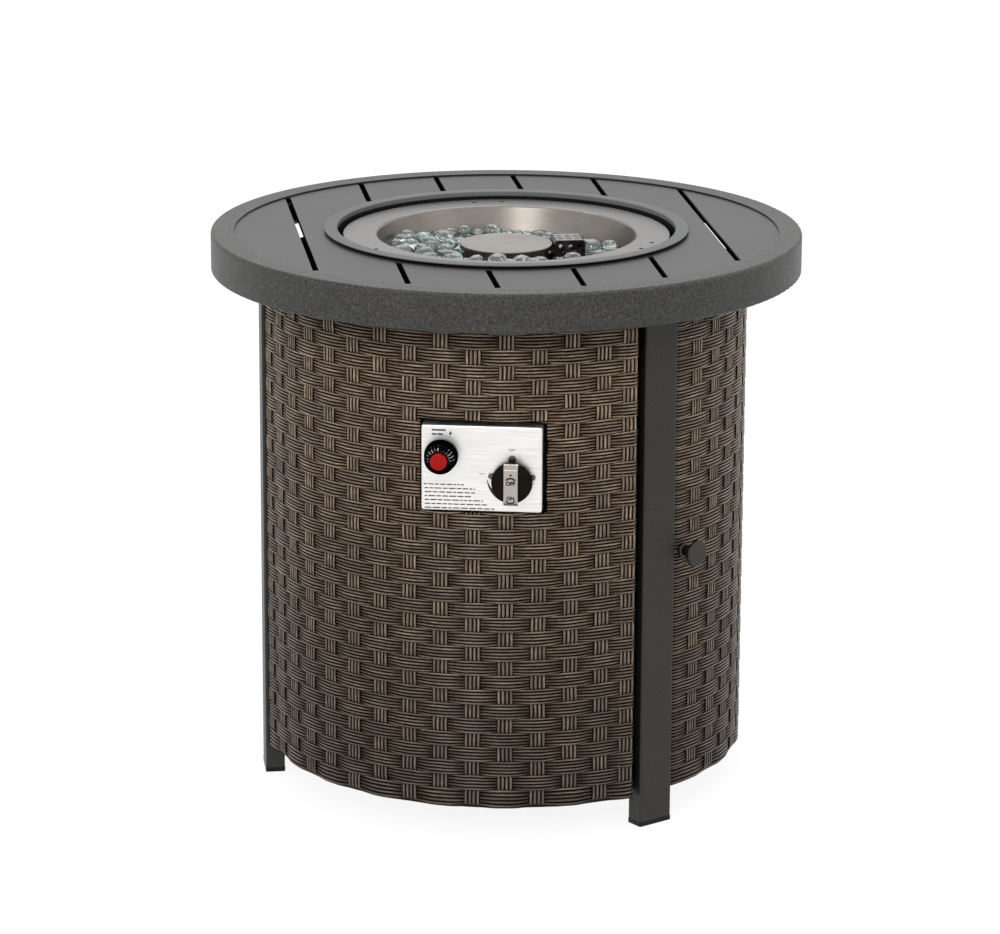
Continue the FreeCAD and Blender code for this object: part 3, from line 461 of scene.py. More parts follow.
# thin steel discoloured by the flame: dark, with brown patches, and lighter on its top as a painted highlight
def makeScorchedMaterial():
    material, tree, shader = newMaterial("scorchedSteel")
    place = objectPlace(tree)
    patches = noise(place, scorchLook["patches"], detail=4.0, roughness=0.6)
    # a lighter top above a set height: painted highlight
    top = (parted(place)[2] > scorchLook["litTopFrom"]) * scaled(patches, scorchLook["litTopShare"])
    colour = ramp(patches, *scorchLook["stops"])
    fill(shader, {"Base Color": blendColour("MIX", top, colour, linear(*scorchLook["litTopColour"])),
                  "Roughness": scaled(patches, scorchLook["roughness"]),
                  "Metallic": scorchLook["metallic"]})
    addBump(shader, noise(place, scorchLook["grain"], detail=3.0), *scorchLook["bump"])
    return material


ridgeLook = {
    "across": -0.0398, "up": 0.4012, "band": (0.0100, 0.0150), "ridges": 24.0, "colour": (9, 9, 9),
    "grain": 1500.0, "roughness": (0.2, 0.08), "index": 3.6, "bump": (0.0006, 0.7),
    "crest": (1.6, -0.3), "patches": 260.0, "patchShare": (5.0, -2.0), "upper": (120.0, 0.4),  # its glints
}


# glossy black with a fine grip of ridges round the igniter's axis
def makeRidgedMaterial():
    material, tree, shader = newMaterial("ridgedPlastic")
    place = objectPlace(tree)
    inputs = {"Angle": -plateAngle, "Vector": place}
    across, up = parted(wired(tree, "ShaderNodeVectorRotate", inputs, rotation_type="Z_AXIS"))[1:]
    across, up = across - ridgeLook["across"], up - ridgeLook["up"]
    ridge = calc("SINE", calc("ARCTAN2", up, across) * ridgeLook["ridges"])
    reach = reachOf(across, up)
    inner, outer = ridgeLook["band"]
    grain = noise(place, ridgeLook["grain"])
    glint = (reach > inner) * (reach < outer)
    patches = noise(place, ridgeLook["patches"], detail=1.0)
    for value, share in ((ridge, "crest"), (patches, "patchShare"), (up, "upper")):
        glint = glint * clamped(scaled(value, ridgeLook[share]))
    fill(shader, {"Base Color": linear(*ridgeLook["colour"]), "Specular IOR Level": 0.0,
                  "Roughness": scaled(grain, ridgeLook["roughness"]),
                  "Coat Weight": glint, "Coat IOR": ridgeLook["index"]})
    addBump(shader, ridge + grain, *ridgeLook["bump"])
    return material


finishes.update({"scorchedSteel": makeScorchedMaterial(), "glassBed": makeBedMaterial(),
                 "ridgedPlastic": makeRidgedMaterial()})
finishNodes = {
    "rimPaint": "rim_band", "deckPaint": "deck_panel", "ringPaint": "centre_ring", "underShadePaint": "top_frame",
    "framePaint": "base_frame front_panel_frame back_panel_frame door_frame tank_tray control_plate_screws",
    "legPaint": "leg_left leg_front leg_rear pivot_bracket_upper pivot_bracket_lower",
    "bowlSteel": "burner_bowl", "burnerSteel": "burner_base", "capSteel": "burner_cap",
    "scorchedSteel": "pilot_shield pilot_bracket", "glassBed": "glass_bed", "plateSteel": "control_plate",
    "zincSteel": "heat_shield heat_shield_hangers tank_ring leg_bolts pivot_pins strike_plate "
                 "door_knob_screw",
    "screwSteel": "valve_screws", "brassMetal": "burner_nut gas_orifice gas_inlet valve_rotor valve_stem",
    "castMetal": "gas_valve valve_rear_cap air_mixer gas_pipe", "copperMetal": "thermocouple",
    "platedMetal": "knob_handle", "knobMetal": "door_knob", "whiteCeramic": "spark_electrode",
    "blackPlastic": "foot_left foot_front foot_rear thrust_washer magnet_catch igniter_body",
    "knobPlastic": "control_knob", "dullPlastic": "igniter_nut", "redPlastic": "igniter_button",
    "ridgedPlastic": "igniter_cap", "blackRubber": "igniter_lead", "cellSleeve": "igniter_battery",
}
for finishName, nodeNames in finishNodes.items():
    for nodeName in nodeNames.split():
        for materialSlot in nodes[nodeName].material_slots:
            materialSlot.material = finishes[finishName]
print("materials on", sum(len(names.split()) for names in finishNodes.values()), "nodes")


# Woven panels, by geometry nodes; angles in degrees

fixedPanel = {"Stake Pitch": 7.6, "Stakes": 15, "Row Bottom": 0.0432, "Rows": 33, "Row Pitch": 0.01523,
              "Low": 0.0350, "High": 0.5385, "Plain Edge": 0.0, "Edge Lift": 0.0038}
panelValues = {
    "front": {**fixedPanel, "Start Angle": -175.1, "End Angle": -66.0, "First Stake": -173.2,
              "Bow": 0.0012, "Rise": 0.0032},
    "back": {**fixedPanel, "Start Angle": 65.0, "End Angle": 175.1, "First Stake": 66.8,
             "Bow": 0.0020, "Rise": 0.0},
    "door": {"Start Angle": -53.9, "End Angle": 53.9, "First Stake": -46.8, "Stake Pitch": 7.8, "Stakes": 13,
             "Row Bottom": 0.0437, "Rows": 32, "Row Pitch": 0.01540, "Low": 0.0355, "High": 0.5290,
             "Bow": 0.0, "Rise": 0.0, "Plain Edge": 1.0, "Edge Lift": 0.0006},
}
strandValues = {
    "both": {"Radius": 0.2473, "Rib Depth": 0.0013, "Skin": 0.0002, "Back": 0.0008, "Edge Radius": 0.0040,
             "Wrap Steps": 5},
    "Bands": {"Width": 0.0170, "Wave": 0.0011, "Samples": 6},
    "Stakes": {"Width": 0.0165, "Wave": 0.0005, "Samples": 4},
    "ribs": {"Bands": 5, "Stakes": 4}, "ribSteps": 4, "backSteps": 3,
    "wrapTurn": 165.0, "liftReach": 11.0, "lastGap": 2.0,  # degrees
    "plainReach": 0.75, "rowHold": 1.5, "merge": 0.00001,
    "bandWaver": (14.0, 3.7, 0.0012), "stakeWaver": (40.0, 2.9, 0.0015),
    "squeeze": (0.05, 0.96), "backSqueeze": 1.1,
    "lowest": (0.16, -0.0012),  # the bottom band is broader and lower
    "stakeStep": 7.0, "stakeCrest": 0.55,
}
weaveInputs = {
    "NodeSocketFloat": ("Start Angle", "End Angle", "Radius", "First Stake", "Stake Pitch", "Row Bottom",
                        "Row Pitch", "Bow", "Rise", "Plain Edge", "Edge Lift", "Width", "Wave", "Rib Depth",
                        "Skin", "Back", "Edge Radius", "Low", "High"),
    "NodeSocketInt": ("Stakes", "Rows", "Samples", "Wrap Steps"),
    "NodeSocketMaterial": ("Material",),
}


# offset across and outwards for one point of a ribbed strand, from its index round the strand
def strandProfile(given, index, ribs):
    front = float(ribs * strandValues["ribSteps"])
    backSteps = float(strandValues["backSteps"])
    share = clamped(index / front)
    behind = clamped((index - front) / backSteps)
    across = (share - 0.5) * given["Width"] - clamped(behind * backSteps - 1.0) * given["Width"]
    crest = calc("ABSOLUTE", calc("SINE", share * (math.pi * ribs)))
    sunk = clamped(calc("MINIMUM", behind, 1.0 - behind) * backSteps)
    out = crest * given["Rib Depth"] + given["Skin"] - sunk * (given["Skin"] + given["Back"])
    return across, out, crest, sunk


# turn round the panel's edge rod: negative at the start, none along the panel, positive at the end
def wrapAngle(given, along, last):
    wrap = given["Wrap Steps"]
    before = clamped(1.0 - along / wrap)
    after = clamped((along - (last - wrap)) / wrap)
    share = clamped((along - wrap) / (last - wrap * 2.0))
    turn = (after - before) * math.radians(strandValues["wrapTurn"])
    return turn, share, clamped(along) * clamped(last - along)


# how far a row sits off its even place: the rows sag a little, and climb towards the panel's far side
def rowShift(given, row, angle):
    swell = clamped(calc("SINE", clamped(row / (given["Rows"] - 1.0)) * math.pi))
    side = (angle - given["Start Angle"]) / (given["End Angle"] - given["Start Angle"])
    climb = clamped(side * 2.0 - 1.0)
    return climb * climb * given["Rise"] * clamped(swell * strandValues["rowHold"]) - swell * given["Bow"]


# distance from the nearer end of the panel, as an angle
def endDistance(given, angle):
    return calc("MINIMUM", angle - given["Start Angle"], given["End Angle"] - angle)


# the skin stands a little prouder along its two side edges, where it goes round a rod
def edgeLift(given, angle):
    rest = 1.0 - clamped(endDistance(given, angle) / math.radians(strandValues["liftReach"]))
    return rest * rest * given["Edge Lift"]


# a cosine with broad tops
def flattened(angle):
    value = calc("COSINE", angle)
    return value * (value * value * -0.5 + 1.5)


# x and y of a place outwards and to the side, at an angle round the table
def ringPlace(radial, side, angle):
    cosine, sine = calc("COSINE", angle), calc("SINE", angle)
    return radial * cosine - side * sine, radial * sine + side * cosine


# a tree with flat unit strands, one for each of count, and what each of their points stands for
def startStrands(name, kind, count, crossings):
    tree = bpy.data.node_groups.new(name, "GeometryNodeTree")
    tree.is_modifier = True
    tree.interface.new_socket("Geometry", in_out="INPUT", socket_type="NodeSocketGeometry")
    for socketKind, labels in weaveInputs.items():
        for label in labels:
            tree.interface.new_socket(label, in_out="INPUT", socket_type=socketKind)
    tree.interface.new_socket("Geometry", in_out="OUTPUT", socket_type="NodeSocketGeometry")
    start = addNode(tree, "NodeGroupInput")
    given = {label: Wire(tree, start.outputs[label])
             for labels in weaveInputs.values() for label in labels}
    ribs = strandValues["ribs"][kind]
    stepsRound = ribs * strandValues["ribSteps"] + strandValues["backSteps"]
    pointsAlong = given[crossings] * given["Samples"] + (given["Wrap Steps"] * 2.0 + 1.0)
    grid = wired(tree, "GeometryNodeMeshGrid", {"Vertices X": pointsAlong, "Vertices Y": stepsRound + 1})
    line = wired(tree, "GeometryNodeMeshLine", {"Count": given[count], "Offset": (0, 0, 1)}, mode="OFFSET")
    copies = wired(tree, "GeometryNodeInstanceOnPoints", {"Points": line, "Instance": grid})
    geometry = wired(tree, "GeometryNodeRealizeInstances", {0: copies})
    x, y, z = parted(wired(tree, "GeometryNodeInputPosition", {}))
    last = pointsAlong - 1.0
    along = calc("ROUND", (x + 0.5) * last)
    around = calc("ROUND", (y + 0.5) * float(stepsRound))
    profile = strandProfile(given, around, ribs)
    return given, geometry, calc("ROUND", z), profile, wrapAngle(given, along, last)


def storedValue(geometry, name, kind, value):
    return wired(geometry.tree, "GeometryNodeStoreNamedAttribute",
                 {"Geometry": geometry, "Name": name, "Value": value}, data_type=kind, domain="POINT")


def finishStrands(given, geometry, place, strand, bulge, flip):
    tree = geometry.tree
    geometry = storedValue(geometry, "strand", "FLOAT_VECTOR", strand)
    geometry = storedValue(geometry, "bulge", "FLOAT", bulge)
    geometry = wired(tree, "GeometryNodeSetPosition", {"Geometry": geometry, "Position": place})
    if flip:
        geometry = wired(tree, "GeometryNodeFlipFaces", {0: geometry})
    geometry = wired(tree, "GeometryNodeMergeByDistance",
                     {"Geometry": geometry, "Distance": strandValues["merge"]})
    geometry = wired(tree, "GeometryNodeSetShadeSmooth", {"Geometry": geometry})
    geometry = wired(tree, "GeometryNodeRealizeInstances", {0: geometry})
    geometry = wired(tree, "GeometryNodeSetMaterial",
                     {"Geometry": geometry, "Material": given["Material"]})
    fill(addNode(tree, "NodeGroupOutput"), {0: geometry})
    return tree


# bands round the panel, one for each row, that go over and under the stakes and round both edges
def makeBandTree():
    given, geometry, row, profile, wrapped = startStrands("wovenBands", "Bands", "Rows", "Stakes")
    across, out, crest, sunk = profile
    turn, share, closed = wrapped
    trim = given["Edge Radius"] / given["Radius"]
    first = given["Start Angle"] + trim
    angle = first + share * (given["End Angle"] - trim - first)
    over = flattened(((angle - given["First Stake"]) / given["Stake Pitch"] + row) * math.pi)
    clear = clamped(endDistance(given, angle) / (given["Stake Pitch"] * strandValues["plainReach"]))
    plain = (1.0 - clear) * given["Plain Edge"]
    over = over * (1.0 - plain) + plain * 0.5
    lever = given["Edge Radius"] + (over * given["Wave"] + out * closed)
    middle = given["Radius"] + edgeLift(given, angle) - given["Edge Radius"]
    x, y = ringPlace(middle + lever * calc("COSINE", turn), lever * calc("SINE", turn), angle)
    squeeze = scaled(over, strandValues["squeeze"])
    squeeze = squeeze + sunk * (strandValues["backSqueeze"] - squeeze)
    waverAngle, waverRow, waverSize = strandValues["bandWaver"]
    waver = noise(joined(angle * waverAngle, row * waverRow, 0.0))
    height = across * closed * squeeze + (waver - 0.5) * waverSize
    lowest = clamped(1.0 - row)
    broader, lower = strandValues["lowest"]
    height = height * (lowest * broader + 1.0) + lowest * lower
    z = row * given["Row Pitch"] + given["Row Bottom"] + rowShift(given, row, angle) + height
    ribs = float(strandValues["ribs"]["Bands"])
    ribNumber = across * (ribs / strandValues["Bands"]["Width"]) + row * ribs
    strand = joined(angle * given["Radius"], ribNumber, crest)
    return finishStrands(given, geometry, joined(x, y, z), strand, over, False)


# upright stakes, that go behind and in front of the bands and round the top and bottom rods
def makeStakeTree():
    given, geometry, stake, profile, wrapped = startStrands("wovenStakes", "Stakes", "Stakes", "Rows")
    across, out, crest, sunk = profile
    turn, share, closed = wrapped
    low = given["Low"] + given["Edge Radius"]
    level = low + share * (given["High"] - given["Edge Radius"] - low)
    angle = stake * given["Stake Pitch"] + given["First Stake"]
    angle = calc("MINIMUM", angle, given["End Angle"] - math.radians(strandValues["lastGap"]))
    row = (level - given["Row Bottom"]) / given["Row Pitch"]
    row = row - rowShift(given, row, angle) / given["Row Pitch"]
    under = flattened((row + stake) * math.pi)
    lever = given["Edge Radius"] + (out * closed - under * given["Wave"])
    waverLevel, waverStake, waverSize = strandValues["stakeWaver"]
    waver = noise(joined(level * waverLevel, stake * waverStake, 4.0))
    side = across * closed + (waver - 0.5) * waverSize
    middle = given["Radius"] + edgeLift(given, angle + side / given["Radius"]) - given["Edge Radius"]
    x, y = ringPlace(middle + lever * calc("COSINE", turn), side, angle)
    z = level + lever * calc("SINE", turn)
    ribs = strandValues["ribs"]["Stakes"]
    ribNumber = across * (ribs / strandValues["Stakes"]["Width"]) + stake * strandValues["stakeStep"]
    strand = joined(level, ribNumber, crest ** strandValues["stakeCrest"])
    return finishStrands(given, geometry, joined(x, y, z), strand, under * -1.0, True)


# the tree's result as a plain mesh object
def runTree(tree, name, values):
    holder = linked(name + "Source", bpy.data.meshes.new(name + "Source"))
    modifier = holder.modifiers.new("nodes", "NODES")
    modifier.node_group = tree
    for item in tree.interface.items_tree:
        if item.item_type == "SOCKET" and item.in_out == "INPUT" and item.name in values:
            modifier[item.identifier] = values[item.name]
    result = holder.evaluated_get(bpy.context.evaluated_depsgraph_get())
    mesh = bpy.data.meshes.new_from_object(result)
    mesh.name = name
    bpy.data.objects.remove(holder)
    return linked(name, mesh)


weaveTrees = {"Bands": makeBandTree(), "Stakes": makeStakeTree()}
weaveMaterial = makeWeaveMaterial()


def weavePanel(side):
    values = {**panelValues[side], **strandValues["both"], "Material": weaveMaterial}
    for label in ("Start Angle", "End Angle", "First Stake", "Stake Pitch"):
        values[label] = math.radians(values[label])
    return [runTree(tree, side + kind, {**values, **strandValues[kind]})
            for kind, tree in weaveTrees.items()]


# window for the control plate: sides and heights, and how far from it strands are cut
windowValues = {"left": 0.0622, "right": 0.0638, "low": 0.3415, "high": 0.4358, "reach": 0.02, "snap": 1e-7}


# takes the strands out of the window; the ends that it leaves are closed
def cutWindow(piece):
    left, right, low, high, reach, snap = windowValues.values()
    turn = Matrix.Rotation(-plateAngle, 4, "Z")
    back = turn.inverted()
    mesh = bmesh.new()
    mesh.from_mesh(piece.data)

    def near(place, margin):
        spot = turn @ place
        return (spot.x > 0 and -left - margin < spot.y < right + margin
                and low - margin < spot.z < high + margin)

    for point, normal in (((0, -left, 0), (0, -1, 0)), ((0, right, 0), (0, 1, 0)),
                          ((0, 0, low), (0, 0, -1)), ((0, 0, high), (0, 0, 1))):
        faces = [face for face in mesh.faces if any(near(vertex.co, reach) for vertex in face.verts)]
        edges = {edge for face in faces for edge in face.edges}
        verts = {vertex for face in faces for vertex in face.verts}
        bmesh.ops.bisect_plane(mesh, geom=list(verts) + list(edges) + faces, dist=snap,
                               plane_co=back @ Vector(point), plane_no=back.to_3x3() @ Vector(normal))
    inside = [face for face in mesh.faces if near(face.calc_center_median(), 0)]
    bmesh.ops.delete(mesh, geom=inside, context="FACES")
    bmesh.ops.holes_fill(mesh, edges=[edge for edge in mesh.edges if edge.is_boundary], sides=0)
    mesh.to_mesh(piece.data)
    mesh.free()


for side, bodyName in (("front", "table"), ("back", "table"), ("door", "door")):
    bands, stakes = weavePanel(side)
    if side == "front":
        for piece in (bands, stakes):
            cutWindow(piece)
    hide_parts(side + ("_weave" if side == "door" else "_panel_weave"))
    for piece in (bands, stakes):
        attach(piece, bodyName)
    print(side, "weave:", len(bands.data.polygons), "+", len(stakes.data.polygons), "faces")


# turned-down edges of the deck's slots, near-black as painted shade inside the slots
lipValues = {"lines": 6, "pitch": 0.0847, "width": 0.006, "outer": 0.277, "inner": 0.194, "shift": 0.0085,
             "top": 0.573, "deep": 0.0042, "thick": 0.001}


# far and near ends of the slots on the line at x
def slotEnds(x):
    shift = lipValues["shift"]
    outer = math.sqrt(lipValues["outer"] ** 2 - x ** 2)
    if abs(x) > lipValues["inner"]:
        return [(shift - outer, shift + outer)]
    inner = math.sqrt(lipValues["inner"] ** 2 - x ** 2)
    return [(shift - outer, shift - inner), (shift + inner, shift + outer)]


def makeSlotLips():
    mesh = bmesh.new()
    half, thick, deep = lipValues["width"] / 2, lipValues["thick"], lipValues["deep"]
    middle = lipValues["top"] - deep / 2
    for line in range(lipValues["lines"]):
        x = lipValues["pitch"] * (line - (lipValues["lines"] - 1) / 2)
        left, right = x - half, x + half
        for low, high in slotEnds(x):
            for x0, x1, y0, y1 in ((left - thick, left, low, high), (right, right + thick, low, high),
                                   (left - thick, right + thick, low - thick, low),
                                   (left - thick, right + thick, high, high + thick)):
                place = Matrix.Translation(((x0 + x1) / 2, (y0 + y1) / 2, middle))
                size = Matrix.Diagonal((x1 - x0, y1 - y0, deep, 1))
                bmesh.ops.create_cube(mesh, size=1.0, matrix=place @ size)
    return linked("slotLips", meshOf("slotLips", mesh, finishes["underShadePaint"]))


lips = makeSlotLips()
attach(lips, "table")
print("slot edges made")


# fire glass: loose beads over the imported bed
glassValues = {
    "size": (0.0088, 0.0124), "flat": 0.68, "under": 0.75, "wobble": ((0.05, 3.1), (0.04, 2.7)), "shapes": 5,
    "stretch": ((0.95, 1.08), (0.88, 1.0), (0.95, 1.1)), "tilt": 0.3, "spin": 6.3, "view": -7.4,
    "seed": 11, "layers": 3, "layer": 0.0095, "tries": 4000, "reach": 0.135, "bed": 0.544, "sink": 0.002,
    "spacing": 0.9, "upright": 1.4,
    "wallTop": 0.134, "wallZ": 0.572, "wallSlope": 0.2712, "wallGap": 0.0012, "cap": 0.0462,
    "pilot": (0.064, 0.0165),  # its middle and half its width
    "base": 0.5520,
    "heaps": [  # rise, then two edges: share of x, share of y, start and softness
        (0.0115, (-1, 0, 0.030, 0.03), (0, -1, -0.10, 0.05)),
        (0.0164, (0, -1, 0.070, 0.010), (-1, 0, -0.045, 0.010)),
        (0.0085, (1, 0, 0.080, 0.008), (0, -1, -0.045, 0.03))],
    "placed": [
        (-0.0140, 0.0940, 0.5535, 0.0110), (0.0012, 0.0900, 0.5518, 0.0060), (0.0118, 0.0910, 0.5514, 0.0058),
        (0.0225, 0.0905, 0.5510, 0.0050), (0.0450, 0.0800, 0.5500, 0.0085), (-0.030, 0.0850, 0.5530, 0.0070),
        (-0.044, 0.0820, 0.5560, 0.0085), (-0.059, 0.0780, 0.5545, 0.0080), (-0.085, 0.0620, 0.5525, 0.0090),
        (-0.114, 0.0120, 0.5570, 0.0068), (0.0889, 0.0150, 0.5540, 0.0110), (0.1068, 0.0160, 0.5550, 0.0088),
        (0.0672, -0.064, 0.5590, 0.0104), (-0.031, -0.085, 0.5606, 0.0090), (-0.0085, -0.086, 0.5604, 0.0122),
        (0.0165, -0.088, 0.5602, 0.0110), (0.035, -0.085, 0.5600, 0.0090), (-0.052, -0.079, 0.5605, 0.0105)],
}


# top of the glass at a place in the bowl, seen from the front
def heapHeight(x, y):
    rises = []
    for rise, *edges in glassValues["heaps"]:
        share = 1.0
        for shareX, shareY, start, softness in edges:
            share *= max(0.0, min(1.0, (shareX * x + shareY * y - start) / softness))
        rises.append(share * rise)
    return glassValues["base"] + max(rises)


def beadShapes():
    shapes = []
    (sizeX, rateX), (sizeY, rateY) = glassValues["wobble"]
    for variant in range(glassValues["shapes"]):
        mesh = bmesh.new()
        bmesh.ops.create_icosphere(mesh, subdivisions=2, radius=1.0)
        for vertex in mesh.verts:
            x, y, z = vertex.co
            vertex.co *= 1 + sizeX * math.sin(rateX * x + variant) + sizeY * math.sin(rateY * y + 2 * variant)
            if z < 0:
                vertex.co.z *= glassValues["under"]
        shapes.append(mesh)
    return shapes


# true where a bead would stand in the pilot shield, the burner or the bowl's wall
def beadBlocked(x, y, z, size):
    turn = math.radians(glassValues["view"])
    pilotMiddle, pilotHalf = glassValues["pilot"]
    pilotX = x * math.cos(turn) - y * math.sin(turn) - pilotMiddle
    pilotY = x * math.sin(turn) + y * math.cos(turn)
    wall = glassValues["wallTop"] - (glassValues["wallZ"] - z) * glassValues["wallSlope"]
    reach = math.hypot(x, y)
    inShield = abs(pilotX) < pilotHalf + size and abs(pilotY) < pilotHalf + size
    return inShield or reach + size > wall - glassValues["wallGap"] or reach - size < glassValues["cap"]


def beadSpots(chance):
    spots = list(glassValues["placed"])
    upright = glassValues["upright"]
    for layer in range(glassValues["layers"]):
        for attempt in range(glassValues["tries"]):
            reach = glassValues["reach"] * math.sqrt(chance.random())
            angle = chance.uniform(0, 2 * math.pi)
            x, y = reach * math.cos(angle), reach * math.sin(angle)
            size = chance.uniform(*glassValues["size"])
            z = (heapHeight(x, y) - size * glassValues["flat"] - layer * glassValues["layer"]
                 - chance.uniform(0, glassValues["sink"]))
            if z < glassValues["bed"] or beadBlocked(x, y, z, size):
                continue
            if all(math.dist((x, y, z * upright), (a, b, c * upright)) > glassValues["spacing"] * (size + d)
                   for a, b, c, d in spots):
                spots.append((x, y, z, size))
    return spots


def makeGlass():
    chance = random.Random(glassValues["seed"])
    shapes = beadShapes()
    spots = beadSpots(chance)
    merged = bmesh.new()
    tilt = glassValues["tilt"]
    heading = Matrix.Rotation(math.radians(glassValues["view"]), 4, "Z")
    for x, y, z, size in spots:
        piece = shapes[chance.randrange(glassValues["shapes"])].copy()
        tiltX, tiltY = [Matrix.Rotation(chance.uniform(-tilt, tilt), 4, axis) for axis in "XY"]
        wide, long, high = [chance.uniform(*limits) for limits in glassValues["stretch"]]
        shape = Matrix.Diagonal((size * wide, size * long, size * glassValues["flat"] * high, 1))
        spin = Matrix.Rotation(chance.uniform(0, glassValues["spin"]), 4, "Z")
        piece.transform(heading @ Matrix.Translation((x, y, z)) @ (tiltX @ tiltY) @ spin @ shape)
        scratch = bpy.data.meshes.new("bead")
        piece.to_mesh(scratch)
        merged.from_mesh(scratch)
        bpy.data.meshes.remove(scratch)
        piece.free()
    for face in merged.faces:
        face.smooth = True
    return linked("glassBeads", meshOf("glassBeads", merged, makeGlassMaterial())), len(spots)


beads, beadCount = makeGlass()
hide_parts("fire_glass")
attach(beads, "table")
print("glass:", beadCount, "beads")


# Marks on the control plate and the knob: across, up and out from the plate's heading

markValues = {
    "face": 0.25255, "handleFace": 0.27105, "thick": 0.00008, "steps": 24, "seed": 3,
    "bolt": (-0.0310, 0.4233), "knob": (0.0304, 0.376), "handleMiddle": 0.0024,
    "words": {  # word, size, across and up from the knob's axis, face, body, how bold
        "offMark": ("OFF", 0.0038, -0.0006, 0.0318, "face", "table", 0.0),
        "highMark": ("HIGH", 0.0026, -0.0300, 0.0068, "face", "table", 0.0),
        "handleOff": ("OFF", 0.0054, 0.0, 0.0026, "handleFace", "gas_knob", 0.00032),
        "handleOn": ("ON", 0.0047, 0.0, -0.0125, "handleFace", "gas_knob", 0.00028)},
    # parts of rings: inner and outer radius at the start and the end, start, end
    "scale": [((0.0247, 0.0200), (0.0251, 0.0237), 177, 214), ((0.0200, 0.0200), (0.0237, 0.0230), 214, 250)],
    "arcs": [((0.0047, 0.0047), (0.0066, 0.0066), 36, 144), ((0.0044, 0.0044), (0.0060, 0.0060), 210, 330)],
    "arcDrop": 0.0145, "dot": (0.0013, 0.0112, 18),
    "spark": [(0.0010, 0.0034), (-0.0018, -0.0007), (-0.0003, -0.0007), (-0.0010, -0.0036), (0.0019, 0.0009),
              (0.0004, 0.0009)],
    "labelBars": ((-0.0494, -0.0357, 0.0024), (-0.0494, -0.0447, -0.0018), (-0.0437, -0.0385, -0.0018)),
    "labelHeight": 0.0016, "barLeft": -0.0565, "barTop": 0.3705, "barStep": 0.0040, "barHeight": 0.0011,
    "barGap": 0.0012, "firstOut": 0.001, "wordLengths": (0.0022, 0.0075),
    "barLengths": (0.040, 0.050, 0.051, 0.046, 0.058, 0.062, 0.070),
}


# text and flat marks lie in this plane, seen from outside
def markFrame(x, y, z):
    return (Matrix.Rotation(plateAngle, 4, "Z") @ Matrix.Translation((x, y, z))
            @ Matrix(((0, 0, 1, 0), (1, 0, 0, 0), (0, 1, 0, 0), (0, 0, 0, 1))))


def finishMark(name, mesh, body):
    piece = linked(name, mesh)
    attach(piece, body)
    return piece


def wordMark(name):
    words, size, across, up, face, body, bold = markValues["words"][name]
    knobY, knobZ = markValues["knob"]
    curve = bpy.data.curves.new(name, "FONT")
    curve.body = words
    curve.size = size
    curve.align_x = "CENTER"
    curve.align_y = "CENTER"
    curve.extrude = markValues["thick"] / 2
    curve.offset = bold
    holder = linked(name + "Curve", curve)
    mesh = bpy.data.meshes.new_from_object(holder.evaluated_get(bpy.context.evaluated_depsgraph_get()))
    bpy.data.objects.remove(holder)
    mesh.transform(markFrame(markValues[face], knobY + across, knobZ + up))
    mesh.materials.clear()
    mesh.materials.append(finishes["darkInk"])
    return finishMark(name, mesh, body)


# flat closed shapes, each a list of (across, up) points, with a little thickness
def outlineMark(name, outlines, x, y, z, body, finishName="darkInk"):
    thick = markValues["thick"]
    mesh = bmesh.new()
    for outline in outlines:
        face = mesh.faces.new([mesh.verts.new((a, b, -thick / 2)) for a, b in outline])
        face.normal_update()
        if face.normal.z > 0:
            face.normal_flip()
        top = bmesh.ops.extrude_face_region(mesh, geom=[face])
        for vertex in (item for item in top["geom"] if isinstance(item, bmesh.types.BMVert)):
            vertex.co.z += thick
    bmesh.ops.recalc_face_normals(mesh, faces=mesh.faces)
    mesh.transform(markFrame(x, y, z))
    return finishMark(name, meshOf(name, mesh, finishes[finishName]), body)


def bar(left, right, low, height):
    return [(left, low), (right, low), (right, low + height), (left, low + height)]


# outline of part of a ring whose width changes evenly from start to end: inner and outer are pairs
def ringSlice(inner, outer, start, end):
    steps = markValues["steps"]
    points = []
    for (first, final), order in ((outer, range(steps + 1)), (inner, range(steps, -1, -1))):
        for step in order:
            share = step / steps
            angle = math.radians(start + (end - start) * share)
            radius = first + (final - first) * share
            points.append((radius * math.cos(angle), radius * math.sin(angle)))
    return points


# plain bars in rows, broken as words would be
def plainBars():
    chance = random.Random(markValues["seed"])
    bars = []
    for row, length in enumerate(markValues["barLengths"]):
        across = markValues["barLeft"] + (0.0 if row else -markValues["firstOut"])
        end = across + length
        while across < end:
            word = min(chance.uniform(*markValues["wordLengths"]), end - across)
            bars.append(bar(across, across + word, -row * markValues["barStep"], markValues["barHeight"]))
            across += word + markValues["barGap"]
    return bars


def makeMarks():
    face, handle = markValues["face"], markValues["handleFace"]
    knobY, knobZ = markValues["knob"]
    boltY, boltZ = markValues["bolt"]
    wordMark("offMark")
    wordMark("highMark")
    outlineMark("flameScale", [ringSlice(*part) for part in markValues["scale"]], face, knobY, knobZ, "table")
    label = [bar(left, right, low, markValues["labelHeight"]) for left, right, low in markValues["labelBars"]]
    outlineMark("plainLabel", label, face, 0.0, boltZ, "table")
    outlineMark("sparkMark", [markValues["spark"]], face, boltY, boltZ, "table")
    outlineMark("plainLines", plainBars(), face, 0.0, markValues["barTop"], "table")
    wordMark("handleOff")
    wordMark("handleOn")
    upper, lower = [ringSlice(*part) for part in markValues["arcs"]]
    lower = [(a, b - markValues["arcDrop"]) for a, b in lower]
    outlineMark("handleArcs", [upper, lower], handle, knobY, knobZ + markValues["handleMiddle"], "gas_knob")
    radius, up, corners = markValues["dot"]
    turns = [2 * math.pi * corner / corners for corner in range(corners)]
    circle = [(radius * math.cos(turn), radius * math.sin(turn)) for turn in turns]
    dot = outlineMark("handleDot", [circle], handle, knobY, knobZ + up, "gas_knob", "redPlastic")


makeMarks()
print("marks made")


# Floor, backdrop and lights

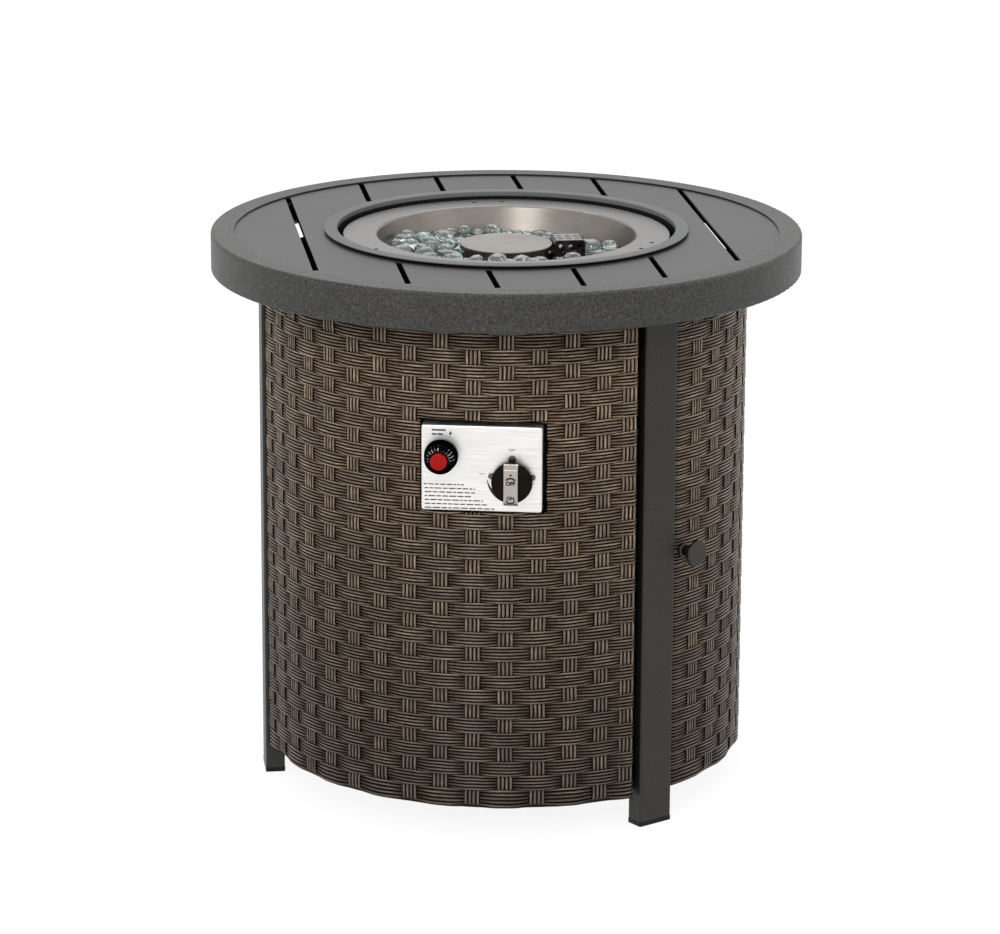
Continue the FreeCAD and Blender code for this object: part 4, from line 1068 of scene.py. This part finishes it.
stageValues = {
    "floorSize": 6.0, "floorScale": 3.0, "floorTones": ((0.3, grey(0.15)), (0.7, grey(0.17))),
    "floorRough": 0.9, "floorGlow": 0.9, "world": 0.6,
    "lamps": {  # place, aim, size, power
        "key": ((-1.6, -3.4, 2.6), (0, 0, 0.35), 1.6, 52),
        "fill": ((3.0, -2.2, 1.8), (0, 0, 0.35), 2.4, 5),
        "top": ((0.2, 1.8, 3.0), (0, 0, 0.5), 2.4, 24)},
}


# one for the rays that show the backdrop itself: to the camera, through glass and in metal
def shownRays(tree):
    rays = addNode(tree, "ShaderNodeLightPath")
    seen, through, glossy = [Wire(tree, rays.outputs["Is %s Ray" % kind])
                             for kind in ("Camera", "Transmission", "Glossy")]
    return calc("MAXIMUM", calc("MAXIMUM", seen, through), glossy)


def makeFloor():
    mesh = bmesh.new()
    bmesh.ops.create_grid(mesh, x_segments=1, y_segments=1, size=stageValues["floorSize"])
    material, tree, shader = newMaterial("floorPaper")
    tone = ramp(noise(objectPlace(tree), stageValues["floorScale"]), *stageValues["floorTones"])
    fill(shader, {"Base Color": tone, "Roughness": stageValues["floorRough"], "Emission Color": grey(1),
                  "Emission Strength": shownRays(tree) * stageValues["floorGlow"]})
    linked("floor", meshOf("floor", mesh, material))


def makeLights():
    world = bpy.data.worlds.new("studio")
    scene.world = world
    world.use_nodes = True
    tree = world.node_tree
    tree.nodes.clear()
    glow = shownRays(tree) * (1.0 - stageValues["world"]) + stageValues["world"]
    background = wired(tree, "ShaderNodeBackground", {"Color": grey(1), "Strength": glow})
    fill(addNode(tree, "ShaderNodeOutputWorld"), {"Surface": background})
    for name, (place, aim, size, power) in stageValues["lamps"].items():
        lamp = bpy.data.lights.new(name, "AREA")
        lamp.shape = "SQUARE"
        lamp.size = size
        lamp.energy = power
        turn = (Vector(aim) - Vector(place)).to_track_quat("-Z", "Y").to_matrix().to_4x4()
        linked(name, lamp).matrix_world = Matrix.Translation(place) @ turn


makeFloor()
makeLights()
scene.view_settings.view_transform = "Standard"
print("stage ready")
